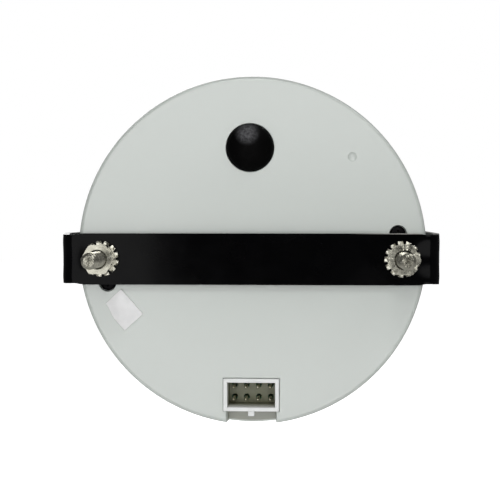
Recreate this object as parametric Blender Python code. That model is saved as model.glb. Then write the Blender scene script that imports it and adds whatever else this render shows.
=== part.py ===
"""Round panel gauge, the display head of a battery monitor.

The gauge stands as it does in an instrument panel: +Z is up at twelve o'clock, the dial faces +Y and
the rear faces -Y. The origin is on the gauge's axis, in the plane of the panel's front surface.
Every outline below is in metres.
"""
import math

import bmesh
import bpy
from mathutils import Matrix, Vector

MM = 0.001

# Fits
GAP = 0.2 * MM                  # between pieces that rest on each other
SEAT_CLEARANCE = 0.15 * MM      # radial, round a stud's root and a screw's pilot
SHAFT_CLEARANCE = 0.08 * MM     # radial, round the pointer shaft
THREAD_CLEARANCE = 0.1 * MM     # radial, between a stud and its nut

# Smoothness
RIM_STEPS = 64                  # sides of the large rings that show
RING_STEPS = 40                 # sides of the large rings inside
PIN_STEPS = 20                  # sides of small round pieces
HOLE_STEPS = 12                 # sides of the smallest holes
HEX_STEPS = 24                  # points round a nut
CUT_BEYOND = 2.0 * MM           # how far a cutter runs past the face it opens

# Housing: a round cup, open to the front
BODY_R = 42.5 * MM
BODY_WALL = 2.2 * MM
REAR_Y = -55.0 * MM
REAR_WALL = 2.5 * MM
RIM_FILLET = 1.0 * MM
HOUSING_FRONT_Y = 4.6 * MM
INNER_R = BODY_R - BODY_WALL
FLOOR_Y = REAR_Y + REAR_WALL
BOSS_FOOT_Y = FLOOR_Y - REAR_WALL / 3
CUT_START_Y = REAR_Y - CUT_BEYOND

# Bezel, lens and seals
BEZEL_R = 46.5 * MM
BEZEL_OPENING_R = 38.6 * MM
BEZEL_FRONT_Y = 9.8 * MM
BEZEL_FILLET = 2.2 * MM
BEZEL_CLEARANCE = 0.3 * MM
BEZEL_SLOPE = (1.0 * MM, 0.8 * MM)   # bevel round the opening: across, deep
SEAL_THICK = 1.0 * MM
PANEL_SEAL_R = (43.0 * MM, 46.2 * MM)
LENS_THICK = 2.0 * MM
LENS_Y = HOUSING_FRONT_Y + GAP
LENS_R = 42.2 * MM
LENS_SEAL_WIDTH = 2.6 * MM
LENS_SEAL_Y = LENS_Y + LENS_THICK + GAP
LIP_Y = LENS_SEAL_Y + SEAL_THICK + GAP

# Panel clamp, studs, nuts and washers
STUD_Z = -1.9 * MM
STUDS = {"left": (-36.8 * MM, STUD_Z), "right": (36.8 * MM, STUD_Z)}
STUD_R = 2.0 * MM
STUD_ROOT_R = 2.6 * MM
STUD_ROOT_SINK = 0.5 * MM
STUD_SEAT_R = STUD_ROOT_R + SEAT_CLEARANCE
STUD_BOSS_R = 3.7 * MM
STUD_ROOT_END_Y = -45.0 * MM
STUD_TIP_CHAMFER = 0.6 * MM
STRAP_THICK = 1.5 * MM
STRAP_WIDTH = 12.5 * MM
STRAP_HALF_SPAN = 46.1 * MM
STRAP_SHIFT = -0.4 * MM         # the strap sits a little to one side in its loose holes
STRAP_BEND_R = 2.75 * MM
STRAP_FOOT_Y = -1.0 * MM
STRAP_HOLE_R = 2.3 * MM
BEND_STEPS = 6
WASHER_THICK = 0.8 * MM
WASHER_R = 4.4 * MM
WASHER_ROOT_R = 3.7 * MM
WASHER_TEETH = 13
TOOTH_CORNERS = (               # share of a tooth's pitch, radius there
    (0.0, WASHER_ROOT_R), (0.22, WASHER_R), (0.62, WASHER_R), (0.84, WASHER_ROOT_R))
NUT_FLATS = 7.0 * MM
NUT_THICK = 3.2 * MM
STUD_BEYOND_NUT = 11.3 * MM
STRAP_FRONT_Y = REAR_Y - GAP
STRAP_REAR_Y = STRAP_FRONT_Y - STRAP_THICK
WASHER_Y = STRAP_REAR_Y - GAP - WASHER_THICK
NUT_Y = WASHER_Y - GAP - NUT_THICK
STUD_TIP_Y = NUT_Y - STUD_BEYOND_NUT

# Case screws, which pull the inner frame's posts against the housing
CASE_SCREWS = {"left": (-35.3 * MM, -7.8 * MM), "right": (35.6 * MM, 4.25 * MM)}
SCREW_HEAD_R = 1.9 * MM
SCREW_SINK_R = 2.1 * MM
SCREW_SINK = 2.0 * MM
SCREW_HEAD_THICK = 1.4 * MM
SCREW_SHANK_R = 1.0 * MM
SCREW_HOLE_R = 1.2 * MM
SCREW_BOSS_R = 2.6 * MM
SCREW_LENGTH = 8.0 * MM         # from its sink's floor to the end of its pilot
SCREW_GRIP = 1.0 * MM           # how much shorter than that its shank is
SCREW_EDGE = 0.35 * MM
CROSS_ARM = (1.1 * MM, 0.25 * MM)
CROSS_DEPTH = 0.7 * MM
POST_R = 1.95 * MM
POST_END_Y = -51.0 * MM
POST_EMBED = 1.0 * MM

# Set button and the switch under it
BUTTON_AT = (-0.3 * MM, 25.2 * MM)
BUTTON_R = 5.8 * MM
BUTTON_RISE = 2.4 * MM
BUTTON_SINK_R = 6.1 * MM
BUTTON_SINK = 2.0 * MM
BUTTON_FLANGE_Y = (-55.2 * MM, -54.2 * MM)
DOME_STEPS = 5
BUTTON_STEM_R = 2.3 * MM
BUTTON_HOLE_R = 2.6 * MM
BUTTON_BOSS_R = 8.0 * MM
BUTTON_BOSS_END_Y = -50.5 * MM
STEM_END_Y = -51.95 * MM
PLUNGER_R = 1.75 * MM
PLUNGER_Y = (-51.2 * MM, -48.6 * MM)
PLUNGER_WELL_R = 2.05 * MM
SWITCH_SIDE = 6.0 * MM
SWITCH_REAR_Y = -50.0 * MM
SWITCH_WELL = 2.0 * MM

# Rear circuit board and what it carries to the rear
BOARD_THICK = 1.6 * MM
REAR_BOARD_Y = -46.3 * MM
REAR_BOARD_FRONT_Y = REAR_BOARD_Y + BOARD_THICK
BOARD_R = 38.3 * MM
BOARD_HALF_WIDTH = 31.0 * MM
BOARD_ARC_STEPS = 14
BOARD_SCREWS = ((-24 * MM, 14 * MM), (24 * MM, 14 * MM), (0, -18 * MM))
BOARD_SCREW_LENGTH = 6.0 * MM
BOARD_BOSS_R = 3.0 * MM
BOARD_BOSS_FLOOR_Y = REAR_Y + 3.5 * MM
BLOCKS = {                      # on the front of the rear board: (x, z), then size along x, y and z
    "voltage_regulator": ((12 * MM, -26 * MM), (10 * MM, 2.4 * MM, 9 * MM)),
    "power_inductor": ((-10 * MM, -28 * MM), (7 * MM, 4.0 * MM, 7 * MM)),
    "controller_chip": ((-8 * MM, 8 * MM), (10 * MM, 1.4 * MM, 10 * MM)),
}
CANS = {                        # (x, z), then radius and height
    "filter_capacitor": ((10 * MM, 12 * MM), 4.0 * MM, 10.5 * MM),
    "buzzer": ((-20 * MM, -10 * MM), 6.0 * MM, 8.5 * MM),
}

# Eight-way header
HEADER_Z = -35.1 * MM
HEADER_SIZE = (13.6 * MM, 7.95 * MM)
HEADER_WALL = 0.95 * MM
HEADER_RIM_Y = REAR_Y - 0.8 * MM
HEADER_DEPTH = 8.0 * MM
HEADER_CLEARANCE = 0.25 * MM
PIN_PITCH = 3.0 * MM
PIN_SIDE = 0.64 * MM
PIN_SINK = 3.2 * MM
PIN_TAIL_Y = -43.4 * MM
PIN_WELL_R = 0.6 * MM
LATCH_RIB = (1.5 * MM, 1.2 * MM, 5.0 * MM)

# Notch in the rim below the header, where the plug's latch goes
NOTCH_HALF_WIDTH = 6.15 * MM
NOTCH_DEPTH = 5.4 * MM
NOTCH_WALL = 2.2 * MM
NOTCH_TOP_Z = HEADER_Z - HEADER_SIZE[1] / 2 - HEADER_CLEARANCE
NOTCH_BLOCK_END_Y = REAR_Y + NOTCH_DEPTH + 2.0 * MM
NOTCH_LIMIT_R = BODY_R - BODY_WALL / 2

# Vent: a hole under a raised patch
VENT_AT = (-31.1 * MM, -14.7 * MM)
VENT_HOLE_R = 1.0 * MM
VENT_SIZE = (8.1 * MM, 6.1 * MM)
VENT_THICK = 0.8 * MM
VENT_TILT = math.radians(48.4)

# Moulding mark in the rear face
DIMPLE_AT = (24.5 * MM, 22.9 * MM)
DIMPLE_R = 1.15 * MM
DIMPLE_DEPTH = 0.35 * MM

# Dial, pointer and readout, seen through the lens
DIAL_Y = 0.0
DIAL_THICK = 0.7 * MM
DIAL_R = 39.8 * MM
SHAFT_PASS_R = 1.6 * MM
CHAPTER_R = 40.0 * MM
CHAPTER_TOP_R = 39.0 * MM
CHAPTER_FOOT_R = 36.5 * MM
GUIDE_Y = (-3.0 * MM, -1.0 * MM)
GUIDE_R = 39.0 * MM
GUIDE_HOLE_R = 2.0 * MM
READOUT_Z = -18.0 * MM
READOUT_WINDOW = (25.0 * MM, 11.0 * MM)
READOUT_SIZE = (29.0 * MM, 14.0 * MM)
READOUT_POCKET = (30.0 * MM, 15.0 * MM)
READOUT_GLASS_Y = (-2.2 * MM, -1.0 * MM)
DISPLAY_BOARD_Y = -7.4 * MM
DISPLAY_BOARD_FRONT_Y = DISPLAY_BOARD_Y + BOARD_THICK
LED_RING_R = 28.0 * MM
LED_SIZE = (3.2 * MM, 1.4 * MM, 1.6 * MM)
LED_COUNT = 4
SHAFT_R = 0.75 * MM
SHAFT_Y = (-13.0 * MM, 2.2 * MM)
SHAFT_END_PLAY = 0.5 * MM
POINTER_Y = (1.0 * MM, 2.0 * MM)
POINTER_TIP_R = 31.0 * MM
POINTER_TAIL_R = 9.0 * MM
POINTER_HUB_R = 3.6 * MM
POINTER_STATIONS = (            # distance along the needle, half its width there
    (-POINTER_TAIL_R, 2.0 * MM), (-POINTER_HUB_R, 2.2 * MM), (0, POINTER_HUB_R),
    (POINTER_HUB_R, 1.7 * MM), (POINTER_TIP_R, 0.5 * MM))
POINTER_CAP_R = 6.0 * MM
POINTER_CAP_EDGE = 0.8 * MM
POINTER_CAP_Y = (2.3 * MM, 4.3 * MM)
POINTER_REST = math.radians(120)    # from twelve o'clock towards +X, where the scale starts
MOTOR_SIZE = (30.0 * MM, 9.2 * MM, 25.0 * MM)
MOTOR_SHIFT_Z = 5.0 * MM

# Inner frame
FRAME_RING_R = (36.0 * MM, 39.8 * MM)
FRAME_RING_Y = (-10.4 * MM, -7.6 * MM)

# Ribbon between the boards
RIBBON_X = 22.0 * MM
RIBBON_Z = -8.0 * MM
RIBBON_WIDTH = 12.0 * MM
RIBBON_THICK = 0.8 * MM
RIBBON_SWING = 3.5 * MM
SOCKET_SIZE = (4.5 * MM, 5.0 * MM, 15.0 * MM)
RIBBON_POINTS = 16


def start_empty():
    """Clear every object, so that the model is the same wherever the script runs."""
    for item in list(bpy.data.objects):
        bpy.data.objects.remove(item, do_unlink=True)


def finish(name, colour, roughness, metallic=0.0, alpha=1.0):
    """Return the named material, made on its first use."""
    material = bpy.data.materials.get(name)
    if material:
        return material
    material = bpy.data.materials.new(name)
    material.use_nodes = True
    shader = material.node_tree.nodes["Principled BSDF"]
    shader.inputs["Base Color"].default_value = (*colour, 1.0)
    shader.inputs["Roughness"].default_value = roughness
    shader.inputs["Metallic"].default_value = metallic
    shader.inputs["Alpha"].default_value = alpha
    return material


def white_abs():
    return finish("white_abs", (0.58, 0.62, 0.60), 0.45)


def black_plastic():
    return finish("black_plastic", (0.012, 0.012, 0.013), 0.45)


def black_rubber():
    return finish("black_rubber", (0.010, 0.010, 0.010), 0.7)


def black_paint():
    return finish("black_paint", (0.008, 0.008, 0.009), 0.32)


def zinc_plate():
    return finish("zinc_plate", (0.60, 0.58, 0.54), 0.3, metallic=1.0)


def black_oxide():
    return finish("black_oxide", (0.02, 0.02, 0.02), 0.4, metallic=0.8)


def tin_plate():
    return finish("tin_plate", (0.75, 0.73, 0.68), 0.25, metallic=1.0)


def natural_nylon():
    return finish("natural_nylon", (0.72, 0.72, 0.62), 0.4)


def vent_film():
    return finish("vent_film", (0.85, 0.86, 0.86), 0.55)


def clear_lens():
    return finish("clear_lens", (0.9, 0.92, 0.93), 0.05, alpha=0.35)


def dial_black():
    return finish("dial_black", (0.015, 0.015, 0.017), 0.6)


def pointer_red():
    return finish("pointer_red", (0.75, 0.08, 0.03), 0.4)


def milky_acrylic():
    return finish("milky_acrylic", (0.85, 0.86, 0.84), 0.25)


def readout_glass():
    return finish("readout_glass", (0.30, 0.36, 0.27), 0.1)


def board_green():
    return finish("board_green", (0.02, 0.16, 0.06), 0.4)


def chip_black():
    return finish("chip_black", (0.02, 0.02, 0.02), 0.6)


def grey_plastic():
    return finish("grey_plastic", (0.30, 0.31, 0.32), 0.5)


def can_aluminium():
    return finish("can_aluminium", (0.70, 0.71, 0.72), 0.35, metallic=1.0)


def arc(centre, radius, start_deg, end_deg, steps):
    """Points of an arc in a plane, both ends included."""
    points = []
    for step in range(steps + 1):
        angle = math.radians(start_deg + (end_deg - start_deg) * step / steps)
        points.append((centre[0] + radius * math.cos(angle), centre[1] + radius * math.sin(angle)))
    return points


def circle(radius, steps, turn=0.0):
    """Points of a whole circle, its end not repeated."""
    return [(radius * math.cos(turn + math.tau * step / steps),
             radius * math.sin(turn + math.tau * step / steps)) for step in range(steps)]


def settle(name, bm, material, location=(0, 0, 0), sharp_deg=40):
    """Close a mesh, turn its faces outwards and put it in the scene as one object."""
    bmesh.ops.remove_doubles(bm, verts=bm.verts, dist=1e-7)
    bmesh.ops.recalc_face_normals(bm, faces=bm.faces)
    mesh = bpy.data.meshes.new(name)
    bm.to_mesh(mesh)
    bm.free()
    mesh.shade_smooth()
    mesh.set_sharp_from_angle(angle=math.radians(sharp_deg))
    if material:
        mesh.materials.append(material)
    item = bpy.data.objects.new(name, mesh)
    item.location = location
    bpy.context.scene.collection.objects.link(item)
    return item


def spun(bm, outline, steps):
    """Spin an outline of (radius, y) points about the Y axis."""
    points = [bm.verts.new((radius, y, 0)) for radius, y in outline]
    follows = points[1:] + points[:1]
    if any(radius == 0 for radius, _ in outline):
        follows = points[1:]
    edges = [bm.edges.new(pair) for pair in zip(points, follows)]
    bmesh.ops.spin(bm, geom=points + edges, cent=(0, 0, 0), axis=(0, 1, 0),
                   angle=math.tau, steps=steps, use_merge=True)


def turned(name, outline, material, at=(0, 0), steps=PIN_STEPS):
    """A solid of revolution about the line along Y through at, an (x, z) point."""
    bm = bmesh.new()
    spun(bm, outline, steps)
    return settle(name, bm, material, (at[0], 0, at[1]))


def ring(name, inner, outer, y_range, material, steps=RING_STEPS):
    low, high = y_range
    outline = [(inner, low), (outer, low), (outer, high), (inner, high)]
    return turned(name, outline, material, steps=steps)


def disc(name, radius, y_range, material, at=(0, 0), steps=PIN_STEPS):
    low, high = y_range
    return turned(name, [(0, low), (radius, low), (radius, high), (0, high)], material, at, steps)


def slab(bm, outline, along):
    """Extrude a flat outline of 3-D points by the vector along."""
    face = bm.faces.new([bm.verts.new(point) for point in outline])
    grown = bmesh.ops.extrude_face_region(bm, geom=[face])
    moved = [item for item in grown["geom"] if isinstance(item, bmesh.types.BMVert)]
    bmesh.ops.translate(bm, verts=moved, vec=along)


def plate(name, outline, y_range, material, at=(0, 0)):
    """A flat piece with an (x, z) outline, between two planes across Y."""
    low, high = y_range
    bm = bmesh.new()
    slab(bm, [(x, low, z) for x, z in outline], (0, high - low, 0))
    return settle(name, bm, material, (at[0], 0, at[1]))


def ring_plate(name, outer, inner, y_range, material, at=(0, 0)):
    """A flat ring between two (x, z) loops that have the same number of points."""
    bm = bmesh.new()
    levels = [[[bm.verts.new((x, y, z)) for x, z in loop] for loop in (outer, inner)] for y in y_range]
    (low_out, low_in), (high_out, high_in) = levels
    count = len(outer)
    for here in range(count):
        there = (here + 1) % count
        for first, second in ((low_out, low_in), (low_in, high_in), (high_in, high_out), (high_out, low_out)):
            bm.faces.new((first[here], first[there], second[there], second[here]))
    return settle(name, bm, material, (at[0], 0, at[1]))


def block(name, low, high, material):
    """A plain rectangular solid between two corners, with its origin at its centre."""
    low, high = Vector(low), Vector(high)
    bm = bmesh.new()
    bmesh.ops.create_cube(bm, size=1.0, matrix=Matrix.Diagonal((*(high - low), 1.0)))
    return settle(name, bm, material, (low + high) / 2)


def chip(name, centre, size, material):
    """A block given by its centre and size."""
    half = Vector(size) / 2
    return block(name, Vector(centre) - half, Vector(centre) + half, material)


def rods(name, spots, radius, y_range, steps=PIN_STEPS):
    """Several separate round rods along Y in one mesh, for a Boolean."""
    low, high = y_range
    bm = bmesh.new()
    for x, z in spots:
        slab(bm, [(x + u, low, z + v) for u, v in circle(radius, steps)], (0, high - low, 0))
    return settle(name, bm, None)


def boolean(item, tool, operation="DIFFERENCE"):
    """Cut or join a piece with a tool, which is left out of the model."""
    modifier = item.modifiers.new(tool.name, "BOOLEAN")
    modifier.operation = operation
    modifier.solver = "EXACT"
    modifier.object = tool
    tool.hide_render = True
    tool.display_type = "WIRE"


def gather(name, place, *members):
    """Parent pieces that move as one to an empty on their joint, and leave them where they are."""
    empty = bpy.data.objects.new(name, None)
    empty.location = place
    bpy.context.scene.collection.objects.link(empty)
    for member in members:
        member.parent = empty
        member.matrix_parent_inverse = Matrix.Translation(place).inverted()


def pin_spots():
    columns = [PIN_PITCH * (step - 1.5) for step in range(4)]
    rows = [HEADER_Z + PIN_PITCH / 2, HEADER_Z - PIN_PITCH / 2]
    return [(x, z) for z in rows for x in columns]


def make_housing():
    """The white cup, with its bosses added first and its holes cut after."""
    outline = [(0, REAR_Y)]
    corner = (BODY_R - RIM_FILLET, REAR_Y + RIM_FILLET)
    outline += arc(corner, RIM_FILLET, -90, 0, 4)
    outline += [(BODY_R, HOUSING_FRONT_Y), (INNER_R, HOUSING_FRONT_Y), (INNER_R, FLOOR_Y), (0, FLOOR_Y)]
    housing = turned("rear_housing", outline, white_abs(), steps=RIM_STEPS)

    bosses = {
        "stud_bosses": (STUDS.values(), STUD_BOSS_R, STUD_ROOT_END_Y, PIN_STEPS),
        "screw_bosses": (CASE_SCREWS.values(), SCREW_BOSS_R, POST_END_Y - GAP, PIN_STEPS),
        "board_bosses": (BOARD_SCREWS, BOARD_BOSS_R, REAR_BOARD_Y - GAP, PIN_STEPS),
        "button_boss": ([BUTTON_AT], BUTTON_BOSS_R, BUTTON_BOSS_END_Y, RING_STEPS),
    }
    for name, (spots, radius, end_y, steps) in bosses.items():
        boolean(housing, rods(name, spots, radius, (BOSS_FOOT_Y, end_y), steps), "UNION")
    ledge_half = NOTCH_HALF_WIDTH + NOTCH_WALL
    ledge = block("notch_ledge", (-ledge_half, BOSS_FOOT_Y, -BODY_R),
                  (ledge_half, NOTCH_BLOCK_END_Y, NOTCH_TOP_Z), None)
    limit = disc("ledge_limit", NOTCH_LIMIT_R, (REAR_Y, 0), None, steps=RIM_STEPS)
    boolean(ledge, limit, "INTERSECT")
    boolean(housing, ledge, "UNION")

    holes = {
        "stud_holes": (STUDS.values(), STUD_SEAT_R, STUD_ROOT_END_Y + CUT_BEYOND, PIN_STEPS),
        "screw_sinks": (CASE_SCREWS.values(), SCREW_SINK_R, REAR_Y + SCREW_SINK, PIN_STEPS),
        "screw_holes": (CASE_SCREWS.values(), SCREW_HOLE_R, POST_END_Y + CUT_BEYOND, PIN_STEPS),
        "button_sink": ([BUTTON_AT], BUTTON_SINK_R, REAR_Y + BUTTON_SINK, RING_STEPS),
        "button_hole": ([BUTTON_AT], BUTTON_HOLE_R, BUTTON_BOSS_END_Y + CUT_BEYOND, PIN_STEPS),
        "vent_hole": ([VENT_AT], VENT_HOLE_R, FLOOR_Y + CUT_BEYOND, HOLE_STEPS),
    }
    for name, (spots, radius, end_y, steps) in holes.items():
        boolean(housing, rods(name, spots, radius, (CUT_START_Y, end_y), steps))
    boolean(housing, rods("board_screw_holes", BOARD_SCREWS, SCREW_HOLE_R,
                          (BOARD_BOSS_FLOOR_Y, REAR_BOARD_Y + CUT_BEYOND)))
    reach = [size / 2 + HEADER_CLEARANCE for size in HEADER_SIZE]
    boolean(housing, block("header_hole", (-reach[0], CUT_START_Y, HEADER_Z - reach[1]),
                           (reach[0], FLOOR_Y + GAP, HEADER_Z + reach[1]), None))
    boolean(housing, block("latch_notch", (-NOTCH_HALF_WIDTH, CUT_START_Y, -BODY_R - CUT_BEYOND),
                           (NOTCH_HALF_WIDTH, REAR_Y + NOTCH_DEPTH, HEADER_Z), None))

    ball_r = (DIMPLE_R ** 2 + DIMPLE_DEPTH ** 2) / (2 * DIMPLE_DEPTH)
    bm = bmesh.new()
    bmesh.ops.create_uvsphere(bm, u_segments=PIN_STEPS, v_segments=PIN_STEPS, radius=ball_r)
    ball = settle("dimple", bm, None, (DIMPLE_AT[0], REAR_Y + DIMPLE_DEPTH - ball_r, DIMPLE_AT[1]))
    boolean(housing, ball)


def make_front():
    """Bezel, lens and the two seals."""
    bore_r = BODY_R + BEZEL_CLEARANCE
    across, deep = BEZEL_SLOPE
    outline = [(bore_r, SEAL_THICK + GAP), (BEZEL_R, SEAL_THICK + GAP)]
    outline += arc((BEZEL_R - BEZEL_FILLET, BEZEL_FRONT_Y - BEZEL_FILLET), BEZEL_FILLET, 0, 90, 5)
    outline += [(BEZEL_OPENING_R + across, BEZEL_FRONT_Y), (BEZEL_OPENING_R, BEZEL_FRONT_Y - deep),
                (BEZEL_OPENING_R, LIP_Y), (bore_r, LIP_Y)]
    turned("bezel_ring", outline, black_plastic(), steps=RIM_STEPS)
    ring("panel_gasket", *PANEL_SEAL_R, (0, SEAL_THICK), black_rubber(), RIM_STEPS)
    disc("lens", LENS_R, (LENS_Y, LENS_Y + LENS_THICK), clear_lens(), steps=RIM_STEPS)
    ring("lens_gasket", LENS_R - LENS_SEAL_WIDTH, LENS_R, (LENS_SEAL_Y, LENS_SEAL_Y + SEAL_THICK),
         black_rubber())


def make_dial():
    """Dial plate, its sloping ring, the light guide and the lamps behind it."""
    half_x, half_z = [size / 2 for size in READOUT_WINDOW]
    dial = disc("dial_plate", DIAL_R, (DIAL_Y - DIAL_THICK, DIAL_Y), dial_black(), steps=RING_STEPS)
    boolean(dial, rods("dial_hole", [(0, 0)], SHAFT_PASS_R, (-CUT_BEYOND, CUT_BEYOND)))
    boolean(dial, block("dial_window", (-half_x, -CUT_BEYOND, READOUT_Z - half_z),
                        (half_x, CUT_BEYOND, READOUT_Z + half_z), None))

    top_y = HOUSING_FRONT_Y
    foot_y = DIAL_Y + GAP
    turned("chapter_ring", [(CHAPTER_FOOT_R, foot_y), (CHAPTER_R, foot_y), (CHAPTER_R, top_y),
                            (CHAPTER_TOP_R, top_y)], dial_black(), steps=RING_STEPS)

    half_x, half_z = [size / 2 for size in READOUT_POCKET]
    guide = disc("light_guide", GUIDE_R, GUIDE_Y, milky_acrylic(), steps=RING_STEPS)
    cut_y = (GUIDE_Y[0] - CUT_BEYOND, GUIDE_Y[1] + CUT_BEYOND)
    boolean(guide, rods("guide_hole", [(0, 0)], GUIDE_HOLE_R, cut_y))
    boolean(guide, block("guide_window", (-half_x, cut_y[0], READOUT_Z - half_z),
                         (half_x, cut_y[1], READOUT_Z + half_z), None))

    for number in range(LED_COUNT):
        angle = math.tau * (number + 0.5) / LED_COUNT
        centre = (LED_RING_R * math.cos(angle), DISPLAY_BOARD_FRONT_Y + GAP + LED_SIZE[1] / 2,
                  LED_RING_R * math.sin(angle))
        chip(f"dial_led_{number + 1}", centre, LED_SIZE, milky_acrylic())


def make_readout():
    """Glass of the small readout, and the holder behind it."""
    half_x, half_z = [size / 2 for size in READOUT_SIZE]
    holder_y = (DISPLAY_BOARD_FRONT_Y + GAP, READOUT_GLASS_Y[0] - GAP)
    for name, y_range, material in (("lcd_glass", READOUT_GLASS_Y, readout_glass()),
                                    ("lcd_holder", holder_y, grey_plastic())):
        block(name, (-half_x, y_range[0], READOUT_Z - half_z), (half_x, y_range[1], READOUT_Z + half_z),
              material)


def make_pointer():
    """Needle, hub cap and shaft, which turn together, and the motor that turns them."""
    towards = Vector((math.sin(POINTER_REST), math.cos(POINTER_REST)))
    across = Vector((-towards.y, towards.x))
    side = [towards * out + across * half for out, half in POINTER_STATIONS]
    other = [towards * out - across * half for out, half in reversed(POINTER_STATIONS)]
    needle = plate("pointer", [tuple(point) for point in side + other], POINTER_Y, pointer_red())
    boolean(needle, rods("pointer_bore", [(0, 0)], SHAFT_R + GAP, (0, POINTER_Y[1] + CUT_BEYOND)))

    cap_low, cap_high = POINTER_CAP_Y
    outline = [(0, cap_low), (POINTER_CAP_R, cap_low), (POINTER_CAP_R, cap_high - POINTER_CAP_EDGE),
               (POINTER_CAP_R - POINTER_CAP_EDGE, cap_high), (0, cap_high)]
    cap = turned("pointer_cap", outline, black_plastic())
    shaft = disc("pointer_shaft", SHAFT_R, SHAFT_Y, can_aluminium())
    gather("needle_axis", (0, POINTER_Y[0], 0), needle, cap, shaft)

    motor_front = DISPLAY_BOARD_Y - GAP
    motor = chip("stepper_motor", (0, motor_front - MOTOR_SIZE[1] / 2, MOTOR_SHIFT_Z), MOTOR_SIZE,
                 grey_plastic())
    boolean(motor, rods("motor_bore", [(0, 0)], SHAFT_R + SHAFT_CLEARANCE,
                        (SHAFT_Y[0] - SHAFT_END_PLAY, 0)))


def make_display_board():
    """Board behind the dial, which carries the motor, the lamps and the readout."""
    board = disc("display_board", BOARD_R, (DISPLAY_BOARD_Y, DISPLAY_BOARD_FRONT_Y), board_green(),
                 steps=RING_STEPS)
    boolean(board, rods("shaft_pass", [(0, 0)], SHAFT_PASS_R,
                        (DISPLAY_BOARD_Y - CUT_BEYOND, DISPLAY_BOARD_FRONT_Y + CUT_BEYOND)))


def make_inner_frame():
    """Ring behind the display board, with a long post to each case screw."""
    frame = ring("inner_frame", *FRAME_RING_R, FRAME_RING_Y, black_plastic())
    post_y = (POST_END_Y, FRAME_RING_Y[1] - POST_EMBED)
    boolean(frame, rods("posts", CASE_SCREWS.values(), POST_R, post_y), "UNION")
    pilot_end = REAR_Y + SCREW_SINK + SCREW_LENGTH
    boolean(frame, rods("pilots", CASE_SCREWS.values(), SCREW_SHANK_R + SEAT_CLEARANCE,
                        (POST_END_Y - CUT_BEYOND, pilot_end)))


def make_screw(name, at, seat_y, length, inward, material):
    """A pan-head screw: its head rises from seat_y against inward, its shank runs along inward."""
    top_y = seat_y - inward * SCREW_HEAD_THICK
    end_y = seat_y + inward * length
    outline = [(0, top_y), (SCREW_HEAD_R - SCREW_EDGE, top_y), (SCREW_HEAD_R, top_y + inward * SCREW_EDGE),
               (SCREW_HEAD_R, seat_y), (SCREW_SHANK_R, seat_y), (SCREW_SHANK_R, end_y), (0, end_y)]
    return turned(name, outline, material, at)


def make_case_screws():
    """Black screws sunk in the rear face, each with a cross recess."""
    seat_y = REAR_Y + SCREW_SINK - GAP
    top_y = seat_y - SCREW_HEAD_THICK
    for side, at in CASE_SCREWS.items():
        screw = make_screw(f"case_screw_{side}", at, seat_y, SCREW_LENGTH - SCREW_GRIP, 1, black_oxide())
        for number, (half_x, half_z) in enumerate((CROSS_ARM, CROSS_ARM[::-1]), 1):
            slot = block(f"slot_{side}_{number}", (at[0] - half_x, top_y - CUT_BEYOND, at[1] - half_z),
                         (at[0] + half_x, top_y + CROSS_DEPTH, at[1] + half_z), None)
            boolean(screw, slot)


def hex_outline(flats, steps):
    """Points round a hexagon whose corners are at +X and -X."""
    sixth = math.radians(60)
    points = []
    for step in range(steps):
        angle = math.tau * step / steps
        off_flat = (angle % sixth) - sixth / 2
        radius = flats / 2 / math.cos(off_flat)
        points.append((radius * math.cos(angle), radius * math.sin(angle)))
    return points


def tooth_outline():
    """Points round an external-tooth washer, four to a tooth."""
    points = []
    for tooth in range(WASHER_TEETH):
        for part, radius in TOOTH_CORNERS:
            angle = math.tau * (tooth + part) / WASHER_TEETH
            points.append((radius * math.cos(angle), radius * math.sin(angle)))
    return points


def make_washer(side, at):
    """A flat ring with teeth round its edge."""
    teeth = tooth_outline()
    bore = [(STRAP_HOLE_R * x / math.hypot(x, z), STRAP_HOLE_R * z / math.hypot(x, z)) for x, z in teeth]
    return ring_plate(f"tooth_washer_{side}", teeth, bore, (WASHER_Y, WASHER_Y + WASHER_THICK),
                      zinc_plate(), at)


def make_clamp():
    """The steel strap, bent twice, with a hole for each stud and a toothed washer on each hole."""
    centre_x = STRAP_HALF_SPAN - STRAP_BEND_R
    centre_y = STRAP_REAR_Y + STRAP_BEND_R
    inner_r = STRAP_BEND_R - STRAP_THICK
    outline = [(-STRAP_HALF_SPAN, STRAP_FOOT_Y)]
    outline += arc((-centre_x, centre_y), STRAP_BEND_R, 180, 270, BEND_STEPS)
    outline += arc((centre_x, centre_y), STRAP_BEND_R, 270, 360, BEND_STEPS)
    outline += [(STRAP_HALF_SPAN, STRAP_FOOT_Y), (STRAP_HALF_SPAN - STRAP_THICK, STRAP_FOOT_Y)]
    outline += arc((centre_x, centre_y), inner_r, 360, 270, BEND_STEPS)
    outline += arc((-centre_x, centre_y), inner_r, 270, 180, BEND_STEPS)
    outline += [(-STRAP_HALF_SPAN + STRAP_THICK, STRAP_FOOT_Y)]
    low_z = STUD_Z - STRAP_WIDTH / 2
    bm = bmesh.new()
    slab(bm, [(x + STRAP_SHIFT, y, low_z) for x, y in outline], (0, 0, STRAP_WIDTH))
    strap = settle("clamp_bracket", bm, black_paint())
    boolean(strap, rods("strap_holes", STUDS.values(), STRAP_HOLE_R,
                        (STRAP_REAR_Y - CUT_BEYOND, STRAP_FRONT_Y + CUT_BEYOND)))
    washers = [make_washer(side, at) for side, at in STUDS.items()]
    gather("clamp_slide_axis", (0, STRAP_REAR_Y, STUD_Z), strap, *washers)


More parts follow.
